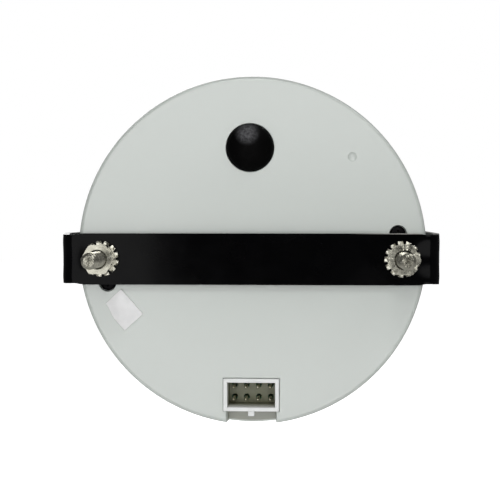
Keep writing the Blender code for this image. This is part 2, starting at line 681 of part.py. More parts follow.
def make_studs():
    """Studs with a thicker root in the housing's bosses, and a nut on each."""
    for side, at in STUDS.items():
        root_y = REAR_Y + STUD_ROOT_SINK
        outline = [(0, STUD_TIP_Y), (STUD_R - STUD_TIP_CHAMFER, STUD_TIP_Y),
                   (STUD_R, STUD_TIP_Y + STUD_TIP_CHAMFER), (STUD_R, root_y),
                   (STUD_ROOT_R, root_y), (STUD_ROOT_R, STUD_ROOT_END_Y), (0, STUD_ROOT_END_Y)]
        turned(f"stud_{side}", outline, zinc_plate(), at)
        ring_plate(f"nut_{side}", hex_outline(NUT_FLATS, HEX_STEPS),
                   circle(STUD_R + THREAD_CLEARANCE, HEX_STEPS), (NUT_Y, NUT_Y + NUT_THICK), zinc_plate(), at)


def make_button():
    """Rubber cap over a small switch with its own plunger."""
    top_y, foot_y = BUTTON_FLANGE_Y
    dome_y = REAR_Y - BUTTON_RISE
    outline = [(0, dome_y)]
    for step in range(1, DOME_STEPS + 1):
        angle = math.radians(90 * step / DOME_STEPS)
        outline.append((BUTTON_R * math.sin(angle), top_y + (dome_y - top_y) * math.cos(angle)))
    outline += [(BUTTON_R, foot_y), (BUTTON_STEM_R, foot_y), (BUTTON_STEM_R, STEM_END_Y), (0, STEM_END_Y)]
    turned("button_cap", outline, black_rubber(), BUTTON_AT)

    disc("switch_plunger", PLUNGER_R, PLUNGER_Y, chip_black(), BUTTON_AT)
    switch_front = REAR_BOARD_Y - GAP
    half = SWITCH_SIDE / 2
    switch = block("tact_switch", (BUTTON_AT[0] - half, SWITCH_REAR_Y, BUTTON_AT[1] - half),
                   (BUTTON_AT[0] + half, switch_front, BUTTON_AT[1] + half), chip_black())
    boolean(switch, rods("plunger_well", [BUTTON_AT], PLUNGER_WELL_R,
                         (SWITCH_REAR_Y - CUT_BEYOND, SWITCH_REAR_Y + SWITCH_WELL)))


def make_vent():
    """Raised patch over the vent hole."""
    half_x, half_z = [size / 2 for size in VENT_SIZE]
    low_y = REAR_Y - GAP - VENT_THICK
    patch = plate("vent_patch", [(-half_x, -half_z), (half_x, -half_z), (half_x, half_z), (-half_x, half_z)],
                  (low_y, low_y + VENT_THICK), vent_film(), VENT_AT)
    patch.rotation_euler = (0, VENT_TILT, 0)


def make_rear_board():
    """Board across the rear of the housing, narrow enough to pass between the studs."""
    edge_z = math.sqrt(BOARD_R ** 2 - BOARD_HALF_WIDTH ** 2)
    corner = math.degrees(math.atan2(edge_z, BOARD_HALF_WIDTH))
    outline = arc((0, 0), BOARD_R, corner, 180 - corner, BOARD_ARC_STEPS)
    outline += arc((0, 0), BOARD_R, 180 + corner, 360 - corner, BOARD_ARC_STEPS)
    board = plate("rear_board", outline, (REAR_BOARD_Y, REAR_BOARD_FRONT_Y), board_green())
    through = (REAR_BOARD_Y - CUT_BEYOND, REAR_BOARD_FRONT_Y + CUT_BEYOND)
    boolean(board, rods("board_holes", BOARD_SCREWS, SCREW_HOLE_R, through, HOLE_STEPS))
    boolean(board, rods("board_pin_holes", pin_spots(), PIN_WELL_R, through, HOLE_STEPS))
    for number, at in enumerate(BOARD_SCREWS, 1):
        make_screw(f"board_screw_{number}", at, REAR_BOARD_FRONT_Y + GAP, BOARD_SCREW_LENGTH, -1,
                   zinc_plate())


def make_header():
    """Nylon shroud with a latch rib, and its eight square pins."""
    half_x, half_z = [size / 2 for size in HEADER_SIZE]
    foot_y = REAR_BOARD_Y - GAP
    shroud = block("header_shroud", (-half_x, HEADER_RIM_Y, HEADER_Z - half_z),
                   (half_x, foot_y, HEADER_Z + half_z), natural_nylon())
    rib_x, rib_z, rib_y = LATCH_RIB
    rib_foot = HEADER_Z - half_z - rib_z
    rib_top = HEADER_Z - half_z + HEADER_WALL / 2
    boolean(shroud, block("latch_rib", (-rib_x / 2, HEADER_RIM_Y, rib_foot),
                          (rib_x / 2, HEADER_RIM_Y + rib_y, rib_top), None), "UNION")
    floor_y = HEADER_RIM_Y + HEADER_DEPTH
    well_x, well_z = half_x - HEADER_WALL, half_z - HEADER_WALL
    boolean(shroud, block("header_well", (-well_x, HEADER_RIM_Y - CUT_BEYOND, HEADER_Z - well_z),
                          (well_x, floor_y, HEADER_Z + well_z), None))
    boolean(shroud, rods("pin_wells", pin_spots(), PIN_WELL_R,
                         (floor_y - CUT_BEYOND, foot_y + CUT_BEYOND), HOLE_STEPS))
    half = PIN_SIDE / 2
    for number, (x, z) in enumerate(pin_spots(), 1):
        block(f"header_pin_{number}", (x - half, HEADER_RIM_Y + PIN_SINK, z - half),
              (x + half, PIN_TAIL_Y, z + half), tin_plate())


def make_electronics():
    """The large components on the front of the rear board."""
    face = REAR_BOARD_FRONT_Y + GAP
    for name, ((x, z), size) in BLOCKS.items():
        material = grey_plastic() if name == "power_inductor" else chip_black()
        chip(name, (x, face + size[1] / 2, z), size, material)
    for name, (at, radius, height) in CANS.items():
        material = can_aluminium() if name == "filter_capacitor" else chip_black()
        disc(name, radius, (face, face + height), material, at)


def make_ribbon():
    """Flat cable between the boards, slack in a shallow S, with a socket at each end."""
    rear = REAR_BOARD_FRONT_Y + GAP
    front = DISPLAY_BOARD_Y - GAP
    depth = SOCKET_SIZE[1]
    chip("ribbon_socket_rear", (RIBBON_X, rear + depth / 2, RIBBON_Z), SOCKET_SIZE, grey_plastic())
    chip("ribbon_socket_front", (RIBBON_X, front - depth / 2, RIBBON_Z), SOCKET_SIZE, grey_plastic())
    start, end = rear + depth + GAP, front - depth - GAP
    side, other = [], []
    for step in range(RIBBON_POINTS + 1):
        part = step / RIBBON_POINTS
        x = RIBBON_X + RIBBON_SWING * math.sin(math.tau * part) * math.sin(math.pi * part)
        y = start + (end - start) * part
        side.append((x - RIBBON_THICK / 2, y, RIBBON_Z - RIBBON_WIDTH / 2))
        other.append((x + RIBBON_THICK / 2, y, RIBBON_Z - RIBBON_WIDTH / 2))
    bm = bmesh.new()
    slab(bm, side + other[::-1], (0, 0, RIBBON_WIDTH))
    settle("ribbon_cable", bm, grey_plastic())


def main():
    start_empty()
    make_housing()
    make_front()
    make_dial()
    make_readout()
    make_pointer()
    make_display_board()
    make_inner_frame()
    make_case_screws()
    make_clamp()
    make_studs()
    make_button()
    make_vent()
    make_rear_board()
    make_header()
    make_electronics()
    make_ribbon()


main()
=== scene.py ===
# %% [markdown]
# # A round panel gauge, seen from its back
# The real object is the display head of a battery monitor. It sits in a round hole in a panel: a white
# plastic cup goes through the hole, a steel strap with two nuts pulls it tight from behind, and a plug
# goes into the header at the bottom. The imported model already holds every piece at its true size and
# place. This notebook only makes the surfaces finer and gives each piece its finish.

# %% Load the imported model
import math

import bmesh
import bpy
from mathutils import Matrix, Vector


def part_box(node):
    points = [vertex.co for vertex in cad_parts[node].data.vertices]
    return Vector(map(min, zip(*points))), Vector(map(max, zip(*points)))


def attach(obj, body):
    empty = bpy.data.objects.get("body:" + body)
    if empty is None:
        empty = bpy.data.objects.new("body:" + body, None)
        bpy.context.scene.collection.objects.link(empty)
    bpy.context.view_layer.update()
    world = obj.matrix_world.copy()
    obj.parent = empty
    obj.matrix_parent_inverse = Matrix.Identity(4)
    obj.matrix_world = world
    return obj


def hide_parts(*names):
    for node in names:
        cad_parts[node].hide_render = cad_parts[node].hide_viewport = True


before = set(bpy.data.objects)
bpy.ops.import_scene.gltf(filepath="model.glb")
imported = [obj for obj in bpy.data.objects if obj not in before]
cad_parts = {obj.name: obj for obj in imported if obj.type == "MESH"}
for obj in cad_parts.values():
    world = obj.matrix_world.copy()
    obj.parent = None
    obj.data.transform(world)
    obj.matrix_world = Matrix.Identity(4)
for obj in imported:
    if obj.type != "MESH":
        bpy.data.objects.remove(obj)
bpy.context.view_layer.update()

MM = 0.001

# %% [markdown]
# ## Where things are
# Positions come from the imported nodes, so that a new piece lies exactly where the plain one was. The
# rear of the gauge faces -Y, towards the camera, and +Z is twelve o'clock.

# %% Read places from the nodes
def middle(node):
    low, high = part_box(node)
    return (low + high) / 2


def size(node):
    low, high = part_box(node)
    return high - low


def span_y(node):
    low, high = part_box(node)
    return low.y, high.y


REAR_Y, FRONT_Y = span_y("rear_housing")
BODY_R = size("rear_housing").x / 2
STUDS = {side: middle(f"stud_{side}") for side in ("left", "right")}
CASE_SCREWS = {side: middle(f"case_screw_{side}") for side in ("left", "right")}
BOARD_SCREWS = [middle(f"board_screw_{number}") for number in (1, 2, 3)]
BUTTON = middle("button_cap")
HEADER = middle("header_pin_2").lerp(middle("header_pin_7"), 0.5)
print("housing radius", round(BODY_R / MM, 2), "rear face at", round(REAR_Y / MM, 2))
print("header centre", [round(value / MM, 2) for value in HEADER])

# %% [markdown]
# ## Working as by hand, in code
# Each piece starts as a primitive, is shaped in edit mode and is finished with modifiers. An operator
# acts on whatever is selected, so the helpers below first select exactly one piece, or exactly the
# faces that pass a test.

# %% Helpers for selecting, editing and applying
def only(piece):
    """Leave edit mode and select this piece alone."""
    if bpy.context.object and bpy.context.object.mode == "EDIT":
        bpy.ops.object.mode_set(mode="OBJECT")
    bpy.ops.object.select_all(action="DESELECT")
    piece.select_set(True)
    bpy.context.view_layer.objects.active = piece


def edit(piece):
    """Open a piece in edit mode with all of it selected, ready to pick vertices."""
    only(piece)
    bpy.ops.object.mode_set(mode="EDIT")
    bpy.ops.mesh.select_mode(type="VERT")
    bpy.ops.mesh.select_all(action="SELECT")


def object_mode():
    bpy.ops.object.mode_set(mode="OBJECT")


def settle(piece):
    """Put a piece's place, turn and scale into its mesh."""
    only(piece)
    bpy.ops.object.transform_apply(location=True, rotation=True, scale=True)


def started(name):
    """Name the primitive just added, and settle it."""
    piece = bpy.context.object
    piece.name = piece.data.name = name
    settle(piece)
    return piece


def pick(piece, kind, test):
    """In edit mode, select the faces, edges or vertices that pass a test, and nothing else."""
    bpy.ops.mesh.select_mode(type=kind)
    bpy.ops.mesh.select_all(action="DESELECT")
    mesh = bmesh.from_edit_mesh(piece.data)
    found = [item for item in {"FACE": mesh.faces, "EDGE": mesh.edges, "VERT": mesh.verts}[kind]
             if test(item)]
    for item in found:
        item.select_set(True)
    mesh.select_flush_mode()
    bmesh.update_edit_mesh(piece.data)
    return len(found)


def nudge(piece, test, value, reach, falloff="SMOOTH"):
    """Move the vertices that pass a test, and their neighbours within reach less and less."""
    count = pick(piece, "VERT", test)
    bpy.ops.transform.translate(value=value, use_proportional_edit=True,
                                proportional_edit_falloff=falloff, proportional_size=reach)
    return count


def apply(piece, kind, **settings):
    """Add a modifier and apply it."""
    only(piece)
    modifier = piece.modifiers.new(kind, kind)
    for name, value in settings.items():
        setattr(modifier, name, value)
    bpy.ops.object.modifier_apply(modifier=modifier.name)


def combine(piece, tool, operation="DIFFERENCE"):
    """Cut, join or intersect a piece with a tool, and throw the tool away."""
    apply(piece, "BOOLEAN", operation=operation, solver="EXACT", object=tool)
    bpy.data.objects.remove(tool)


def copied(piece, name, shift):
    """Duplicate a piece with a mesh of its own, and put its shift into that mesh."""
    only(piece)
    bpy.ops.object.duplicate(linked=False)
    bpy.ops.transform.translate(value=shift)
    return started(name)


def clean(piece, distance=0.001 * MM):
    """Merge doubles and turn the faces outwards."""
    edit(piece)
    bpy.ops.mesh.remove_doubles(threshold=distance)
    bpy.ops.mesh.normals_make_consistent(inside=False)
    object_mode()


def soften(piece, width, segments=2, angle=35):
    """Round the edges that are sharper than an angle."""
    apply(piece, "BEVEL", width=width, segments=segments, limit_method="ANGLE",
          angle_limit=math.radians(angle), harden_normals=False)


def shade(piece, angle=32):
    """Smooth shading with flat faces kept flat, as a mould or a tool leaves them."""
    only(piece)
    bpy.ops.object.shade_smooth_by_angle(angle=math.radians(angle))
    apply(piece, "WEIGHTED_NORMAL", keep_sharp=True, weight=60)


# %% [markdown]
# ## Two ways to get a round piece
# A turned part, such as a screw head, is drawn as half its outline and spun about its axis: the outline
# grows by extruding one vertex from point to point. A stepped part, such as a drafted pocket or a pin
# with a pointed tip, starts as a flat polygon that is extruded and resized from section to section.

# %% Helpers that spin an outline or draw up sections
def arc(centre, radius, start, end, steps):
    """Points on an arc in the (radius, y) plane; angles in degrees."""
    turns = [math.radians(start + (end - start) * step / steps) for step in range(steps + 1)]
    return [(centre[0] + radius * math.cos(turn), centre[1] + radius * math.sin(turn)) for turn in turns]


def outline_vertices(name, points, spot):
    """Draw a chain of (radius, y) points by extruding one vertex."""
    bpy.ops.mesh.primitive_plane_add(size=MM)
    piece = started(name)
    edit(piece)
    bpy.ops.mesh.merge(type="CENTER")
    bpy.ops.transform.translate(value=(spot.x + points[0][0], points[0][1], spot.z))
    for here, there in zip(points, points[1:]):
        step = (there[0] - here[0], there[1] - here[1], 0)
        bpy.ops.mesh.extrude_region_move(TRANSFORM_OT_translate={"value": step})
    return piece


def turned(name, points, spot=Vector(), steps=96, closed=False):
    """Spin an outline about the line along Y through spot; a closed one makes a ring."""
    piece = outline_vertices(name, points + points[:1] if closed else points, spot)
    bpy.ops.mesh.select_all(action="SELECT")
    bpy.ops.mesh.spin(steps=steps, angle=math.tau, center=(spot.x, 0, spot.z), axis=(0, 1, 0),
                      use_auto_merge=True)
    clean(piece)
    return piece


def drawn(name, sections, spot=Vector(), sides=4):
    """Grow a polygon through (y, half width, half height) sections; four sides make a rectangle."""
    y, half_x, half_z = sections[0]
    corner = math.sqrt(2) if sides == 4 else 1
    bpy.ops.mesh.primitive_circle_add(vertices=sides, radius=corner, fill_type="NGON",
                                      location=(spot.x, y, spot.z), rotation=(math.pi / 2, 0, 0))
    piece = started(name)
    edit(piece)
    centre = Vector((spot.x, y, spot.z))
    if sides == 4:
        bpy.ops.transform.rotate(value=math.pi / 4, orient_axis="Y", center_override=centre)
    bpy.ops.transform.resize(value=(half_x, 1, half_z), center_override=centre)
    for (y, half_x, half_z), (next_y, next_x, next_z) in zip(sections, sections[1:]):
        bpy.ops.mesh.extrude_region_move(TRANSFORM_OT_translate={"value": (0, next_y - y, 0)})
        bpy.ops.transform.resize(value=(next_x / half_x, 1, next_z / half_z),
                                 center_override=(spot.x, next_y, spot.z))
    clean(piece)
    return piece


def mouth(edge, start_y, steps):
    """Outline of a round cutter with a flared mouth, so that the hole's edge comes out rounded.

    The steps are (radius, how deep) from the mouth inwards.
    """
    radius = steps[0][0]
    outline = [(0, start_y - MM), (radius + edge, start_y - MM)]
    outline += arc((radius + edge, start_y + edge), edge, 270, 180, 4)
    for step, (radius, deep_y) in enumerate(steps):
        if step:
            outline.append((radius, steps[step - 1][1]))
        outline.append((radius, deep_y))
    return outline + [(0, deep_y)]


# %% [markdown]
# ## Materials
# Nearly every finish here is one idea: the colour, the gloss and the relief each follow a noise of
# their own size, in the piece's own coordinates. The colour drifts slowly, the gloss changes where
# hands and moulds have been, and the relief is the grain of the surface. So one recipe builds that
# graph on a Principled shader and the special finishes add to it. Colours are sRGB hex values that one
# function turns into linear light, and one small function adds a node with its settings and links.

# %% Helpers for materials
def linear(code):
    """An sRGB hex colour as linear numbers."""
    parts = [int(code[place:place + 2], 16) / 255 for place in (1, 3, 5)]
    return [part / 12.92 if part <= 0.04045 else ((part + 0.055) / 1.055) ** 2.4 for part in parts] + [1]


def add(tree, kind, inputs=None, **settings):
    """Add a node, set its properties, and give its inputs values or links."""
    node = tree.nodes.new("ShaderNode" + kind)
    for name, value in settings.items():
        setattr(node, name, value)
    for socket, value in (inputs or {}).items():
        if isinstance(value, bpy.types.NodeSocket):
            tree.links.new(value, node.inputs[socket])
        else:
            node.inputs[socket].default_value = value
    return node


MIX_FACTOR, MIX_A, MIX_B, MIX_RESULT = 0, 6, 7, 2
NOISE_LOW, NOISE_HIGH = 0.35, 0.65


def finish(name, colours, sizes_mm, rough, depth_mm, stretch=(1, 1, 1), **values):
    """Colour, gloss and relief from three noises, with features about sizes_mm across.

    The roughness is a range, or one number for an even gloss. The other values go straight to the
    shader's own sockets. Returns the material and its nodes.
    """
    material = bpy.data.materials.new(name)
    material.use_nodes = True
    tree = material.node_tree
    tree.nodes.clear()
    place = add(tree, "TexCoord").outputs["Object"]
    along = add(tree, "Mapping", {"Vector": place, "Scale": stretch}).outputs["Vector"]
    drift, gloss, relief = [
        add(tree, "TexNoise", {"Vector": vector, "Scale": 1 / (size_mm * MM), "Detail": 3.0}).outputs["Fac"]
        for vector, size_mm in zip((place, place, along), sizes_mm)]
    fade = add(tree, "MapRange", {"Value": drift, "From Min": NOISE_LOW, "From Max": NOISE_HIGH})
    colour = add(tree, "Mix", {MIX_FACTOR: fade.outputs[0], MIX_A: linear(colours[0]),
                               MIX_B: linear(colours[1])}, data_type="RGBA")
    if not isinstance(rough, float):
        rough = add(tree, "MapRange", {"Value": gloss, "From Min": NOISE_LOW, "From Max": NOISE_HIGH,
                                       "To Min": rough[0], "To Max": rough[1]}).outputs[0]
    bump = add(tree, "Bump", {"Height": relief, "Distance": depth_mm * MM})
    shader = add(tree, "BsdfPrincipled", {"Base Color": colour.outputs[MIX_RESULT],
                                          "Roughness": rough,
                                          "Normal": bump.outputs["Normal"], **values})
    add(tree, "OutputMaterial", {"Surface": shader.outputs[0]})
    return material, tree, place, colour, shader


def overlaid(tree, shader, under, mask, code):
    """Lay a second colour over the first where the mask is 1, and show the result."""
    both = add(tree, "Mix", {MIX_FACTOR: mask, MIX_A: under.outputs[MIX_RESULT], MIX_B: linear(code)},
               data_type="RGBA")
    tree.links.new(both.outputs[MIX_RESULT], shader.inputs["Base Color"])
    return both


def hand_over(piece, body, slot, material, *nodes):
    """A finished piece takes its finish, its body and the place of the nodes it stands for."""
    piece.data.materials.clear()
    piece.data.materials.append(material)
    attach(piece, body)
    if nodes:
        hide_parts(*nodes)
    print(piece.name, len(piece.data.polygons), "faces on", body)


# %% [markdown]
# ### Plastics and rubbers
# The cup is injection-moulded ABS in a pale grey-white. Its steel mould was spark eroded, which leaves
# a fine even grain, so it gleams softly and never like a mirror; the grain of about 0.05 mm is drawn
# 0.3 mm coarse to show. Its colour and gloss are even outside, and its notch and sinks are darkened with
# painted shade, which grows with the depth and stays inside the outer wall. Natural nylon is nearly
# white at the header's rim, and painted shade turns it olive deep inside: its colour fades with the depth
# behind the rear face. Silicone rubber has a soft matt skin, and a grey mottled patch on the top of its
# crown is a painted highlight.

# %% ABS, nylon, polycarbonate, PBT, rubbers and epoxy
ABS, tree, place, colour, shader = finish("white_abs_spark_eroded", ("#CCD2CD", "#CCD2CD"), (40, 6, 0.3),
                                          0.27, 0.0005, IOR=1.53, **{"Specular IOR Level": 0.9})
# The grey-green overlay below is painted shade: it darkens the notch and sinks more the deeper they lie.
depth = add(tree, "SeparateXYZ", {"Vector": place}).outputs["Y"]
deep = add(tree, "MapRange", {"Value": depth, "From Min": REAR_Y + 1.2 * MM, "From Max": REAR_Y + 5 * MM})
across = add(tree, "VectorMath", {0: place, 1: (1, 0, 1)}, operation="MULTIPLY").outputs["Vector"]
off_axis = add(tree, "VectorMath", {0: across}, operation="LENGTH").outputs["Value"]
within = add(tree, "MapRange", {"Value": off_axis, "From Min": BODY_R - 0.2 * MM,
                                "From Max": BODY_R - 0.5 * MM})
recess_shade = add(tree, "Math", {0: deep.outputs[0], 1: within.outputs[0]}, operation="MULTIPLY")
overlaid(tree, shader, colour, recess_shade.outputs[0], "#8B8E80")

NYLON, tree, place, colour, shader = finish("natural_nylon", ("#EEF0EE", "#F4F6F5"), (5, 0.9, 0.3),
                                            (0.3, 0.42), 0.003, IOR=1.53)
# The olive overlay below is painted shade, darker deeper in the header's well behind the rear face.
depth = add(tree, "SeparateXYZ", {"Vector": place}).outputs["Y"]
deep = add(tree, "MapRange", {"Value": depth, "From Min": REAR_Y - 0.5 * MM, "From Max": REAR_Y + 6 * MM})
overlaid(tree, shader, colour, deep.outputs[0], "#85876A")

POLYCARBONATE = finish("black_moulded_polycarbonate", ("#0D0D0F", "#151517"), (6, 2, 0.25), (0.38, 0.5),
                       0.008, IOR=1.58)[0]
SEAL = finish("black_epdm_rubber", ("#0A0A0A", "#121212"), (6, 2, 0.25), (0.6, 0.75), 0.01, IOR=1.5)[0]
EPOXY = finish("black_epoxy_moulding", ("#121213", "#1A1A1B"), (3, 1, 0.2), (0.5, 0.65), 0.006, IOR=1.55)[0]
PBT = finish("grey_moulded_pbt", ("#6B6D70", "#757779"), (6, 2, 0.25), (0.45, 0.55), 0.006, IOR=1.55)[0]
FILM = finish("porous_vent_film", ("#ECECEC", "#F4F4F4"), (2.5, 2, 0.6), (0.45, 0.6), 0.02, IOR=1.38)[0]

RUBBER, tree, place, colour, shader = finish("black_silicone_rubber", ("#020202", "#040404"),
                                             (3, 1.2, 0.35), (0.42, 0.56), 0.012, IOR=1.42)
shader.inputs["Specular IOR Level"].default_value = 0.05
# The grey patch on the top of the crown is a painted highlight, the light from above on the dome, mottled by
# noise.
HIGHLIGHT_AT, HIGHLIGHT_R = BUTTON + Vector((-0.6 * MM, 0, 3.5 * MM)), 3.4 * MM
flat = add(tree, "VectorMath", {0: place, 1: (1, 0, 1)}, operation="MULTIPLY").outputs["Vector"]
away = add(tree, "VectorMath", {0: flat, 1: (HIGHLIGHT_AT.x, 0, HIGHLIGHT_AT.z)},
           operation="DISTANCE").outputs["Value"]
highlight_falloff = add(tree, "MapRange", {"Value": away, "From Min": HIGHLIGHT_R, "From Max": 0.8 * MM, "To Max": 0.8},
              interpolation_type="SMOOTHSTEP")
highlight_noise = add(tree, "TexNoise", {"Vector": place, "Scale": 1 / (0.6 * MM), "Detail": 5.0}).outputs["Fac"]
highlight_mottle = add(tree, "MapRange", {"Value": highlight_noise, "From Min": 0.15, "From Max": 0.8})
film = add(tree, "Math", {0: highlight_falloff.outputs[0], 1: highlight_mottle.outputs[0]}, operation="MULTIPLY")
overlaid(tree, shader, colour, film.outputs[0], "#77777A")
print(len(bpy.data.materials), "finishes with plastics and rubbers")

# %% [markdown]
# ### Painted and plated metals
# The strap is mild steel, punched, bent and stoved in black. Thick paint flows while it bakes and sets
# with a faint orange peel, a few tenths of a millimetre across. It is thin where the punch left a
# sharp edge, and a knock lets the zinc through there, so bright chips show only within 0.2 mm of the
# strap's long edges. A pale band along the top edge towards the right is a painted highlight. Studs,
# nuts and washers are zinc plated, bright and slightly warm, with dull patches from handling. The pins
# are tin-plated brass, and the case screws are chemically blackened.

# %% Enamel with worn edges and a painted edge highlight, zinc, black oxide, tin, aluminium
ENAMEL, tree, place, colour, shader = finish("black_stoved_enamel", ("#040405", "#060607"), (20, 6, 0.55),
                                             (0.1, 0.15), 0.0015, IOR=1.5)
shader.inputs["Specular IOR Level"].default_value = 0.06
strap_middle = middle("clamp_bracket")
half_width = size("clamp_bracket").z / 2
height = add(tree, "SeparateXYZ", {"Vector": place}).outputs["Z"]
off_centre = add(tree, "Math", {0: height, 1: strap_middle.z}, operation="SUBTRACT").outputs[0]
from_middle = add(tree, "Math", {0: off_centre}, operation="ABSOLUTE").outputs[0]
at_edge = add(tree, "MapRange", {"Value": from_middle, "From Min": half_width - 0.22 * MM,
                                 "From Max": half_width - 0.05 * MM})
patches = add(tree, "TexNoise", {"Vector": place, "Scale": 1 / (0.9 * MM), "Detail": 4.0}).outputs["Fac"]
chips = add(tree, "MapRange", {"Value": patches, "From Min": 0.66, "From Max": 0.69})
worn = add(tree, "Math", {0: at_edge.outputs[0], 1: chips.outputs[0]}, operation="MULTIPLY")
chipped = overlaid(tree, shader, colour, worn.outputs[0], "#8C8A86")
# A pale band along the top edge, towards the right, is a painted highlight where light from above catches it.
top_edge_band = add(tree, "MapRange", {"Value": off_centre, "From Min": half_width - 0.2 * MM,
                                    "From Max": half_width - 0.08 * MM})
to_right = add(tree, "SeparateXYZ", {"Vector": place}).outputs["X"]
right_side_fade = add(tree, "MapRange", {"Value": to_right, "From Min": 24 * MM, "From Max": 36 * MM})
edge_highlight = add(tree, "Math", {0: top_edge_band.outputs[0], 1: right_side_fade.outputs[0]}, operation="MULTIPLY")
overlaid(tree, shader, chipped, edge_highlight.outputs[0], "#B9B7B2")

ZINC = finish("zinc_plated_steel_rolled", ("#908E83", "#A9A79B"), (1.6, 0.8, 0.25), (0.16, 0.28), 0.005,
              Metallic=1.0)[0]
PRESSED_ZINC = finish("zinc_plated_steel_pressed", ("#B2B0A4", "#C6C4B8"), (1.6, 0.8, 0.4), (0.18, 0.3),
                      0.004, Metallic=1.0)[0]
OXIDE = finish("black_oxide_steel", ("#0E0E10", "#1B1A1A"), (0.8, 0.5, 0.2), (0.35, 0.5), 0.004,
               Metallic=1.0)[0]
TIN = finish("tin_plated_brass", ("#C9C4A6", "#E2DFCF"), (0.7, 0.5, 0.12), (0.2, 0.32), 0.002,
             (1, 0.1, 1), Metallic=1.0)[0]
ALUMINIUM = finish("drawn_aluminium", ("#B7B9BB", "#CBCDCF"), (2, 1, 0.2), (0.25, 0.38), 0.003,
                   (1, 0.08, 1), Metallic=1.0)[0]
print(len(bpy.data.materials), "finishes with metals")

# %% [markdown]
# ### The front and the electronics
# The dial is screen-printed matt black with white marks, the lens is clear acrylic and the pointer is
# painted. Behind them are opal acrylic, the readout's glass and FR4 board, whose solder mask shows the
# raised tracks under it; they are drawn about 1 mm wide, as power tracks are.

# %% Lens, dial, pointer, board and the rest
LENS = finish("clear_cast_acrylic", ("#F6F8F8", "#FAFBFB"), (20, 9, 5), (0.0, 0.04), 0.0005, IOR=1.49,
              **{"Transmission Weight": 1.0})[0]
DIAL = finish("matt_black_screen_print", ("#101012", "#18181A"), (2, 1, 0.25), (0.6, 0.7), 0.004)[0]
MARKS = finish("white_screen_print", ("#E2E2DE", "#F2F2EE"), (1, 1, 0.25), (0.5, 0.6), 0.004)[0]
RED_PAINT = finish("signal_red_paint", ("#C32A17", "#D2331D"), (2, 1, 0.6), (0.33, 0.43), 0.003)[0]
OPAL = finish("opal_acrylic", ("#E6E6E0", "#F0F0EC"), (3, 3, 1), (0.2, 0.3), 0.002, IOR=1.49)[0]
READOUT = finish("reflective_readout_glass", ("#7E8C74", "#8A987F"), (4, 3, 2), (0.1, 0.18), 0.001,
                 IOR=1.52)[0]
SEGMENTS = finish("readout_segment_film", ("#1B211B", "#232A22"), (1, 1, 0.4), (0.25, 0.35), 0.001)[0]

BOARD, tree, place, colour, shader = finish("fr4_green_solder_mask", ("#0F5A33", "#0D4F2D"), (2, 2, 0.5),
                                            (0.3, 0.4), 0.002, IOR=1.5)
flat = add(tree, "Mapping", {"Vector": place, "Rotation": (math.pi / 2, 0, 0)}).outputs["Vector"]
tracks = add(tree, "TexBrick", {"Vector": flat, "Scale": 1 / (4 * MM), "Mortar Size": 0.12,
                                "Color1": linear("#0F5A33"), "Color2": linear("#0D4F2D"),
                                "Mortar": linear("#2C7A4B")})
raised = add(tree, "Bump", {"Height": tracks.outputs["Fac"], "Distance": 0.035 * MM})
tree.links.new(tracks.outputs["Color"], shader.inputs["Base Color"])
tree.links.new(raised.outputs["Normal"], shader.inputs["Normal"])
print(len(bpy.data.materials), "finishes in all")

# %% [markdown]
# ## The white cup
# The housing is a deep moulded cup with a flat floor, which is its rear face. By hand it is a cylinder
# whose front is inset by the wall and pushed down to the floor, with the rear rim rounded by a bevel.
# The holes are cut with tools whose mouths flare, because a mould's edges are never razor sharp, and
# that leaves clean rounds without bevelling a mesh full of holes.

# %% Cup, bosses and ledge
WALL = 2.2 * MM
FLOOR_Y = REAR_Y + 2.5 * MM
RIM_FILLET = 1.0 * MM
NOTCH_HALF_WIDTH = 6.15 * MM
NOTCH_DRAFT = 0.33 * MM
NOTCH_DEPTH = 5.4 * MM
SHROUD_HALF_X, SHROUD_HALF_Z = 6.8 * MM, 3.975 * MM
BOSS_FLARE = 1.04

bpy.ops.mesh.primitive_cylinder_add(vertices=192, radius=BODY_R, depth=FRONT_Y - REAR_Y,
                                    location=(0, (FRONT_Y + REAR_Y) / 2, 0), rotation=(math.pi / 2, 0, 0))
cup = started("white_cup")
edit(cup)
pick(cup, "FACE", lambda face: face.normal.y > 0.9)
bpy.ops.mesh.inset(thickness=WALL)
bpy.ops.mesh.extrude_region_move(TRANSFORM_OT_translate={"value": (0, FLOOR_Y - FRONT_Y, 0)})
pick(cup, "EDGE", lambda edge: all(abs(end.co.y - REAR_Y) < 0.01 * MM for end in edge.verts))
bpy.ops.mesh.bevel(offset=RIM_FILLET, segments=8, affect="EDGES")
clean(cup)

# Each boss has a place, a radius and the Y where it ends.
BOSSES = [(spot, 3.7 * MM, -45.0 * MM) for spot in STUDS.values()]
BOSSES += [(spot, 2.6 * MM, -51.2 * MM) for spot in CASE_SCREWS.values()]
BOSSES += [(spot, 3.0 * MM, -46.5 * MM) for spot in BOARD_SCREWS]
BOSSES += [(BUTTON, 8.0 * MM, -50.5 * MM)]
for spot, radius, end_y in BOSSES:
    foot = (FLOOR_Y - WALL / 3, radius * BOSS_FLARE, radius * BOSS_FLARE)
    post = drawn("boss", [foot, (end_y, radius, radius)], spot, 64)
    combine(cup, post, "UNION")

LEDGE_TOP_Z = HEADER.z - SHROUD_HALF_Z - 0.25 * MM
LEDGE_HALF_X = 8.35 * MM
ledge_half = Vector((LEDGE_HALF_X, 0, (BODY_R + LEDGE_TOP_Z) / 2))
ledge_spot = Vector((0, 0, LEDGE_TOP_Z - ledge_half.z))
ledge = drawn("ledge", [(FLOOR_Y - WALL / 3, ledge_half.x, ledge_half.z),
                        (REAR_Y + NOTCH_DEPTH + 2.0 * MM, ledge_half.x, ledge_half.z)], ledge_spot)
inside = BODY_R - WALL / 2
combine(ledge, drawn("limit", [(REAR_Y, inside, inside), (0, inside, inside)], sides=192), "INTERSECT")
combine(cup, ledge, "UNION")
print("cup with bosses:", len(cup.data.polygons), "faces")

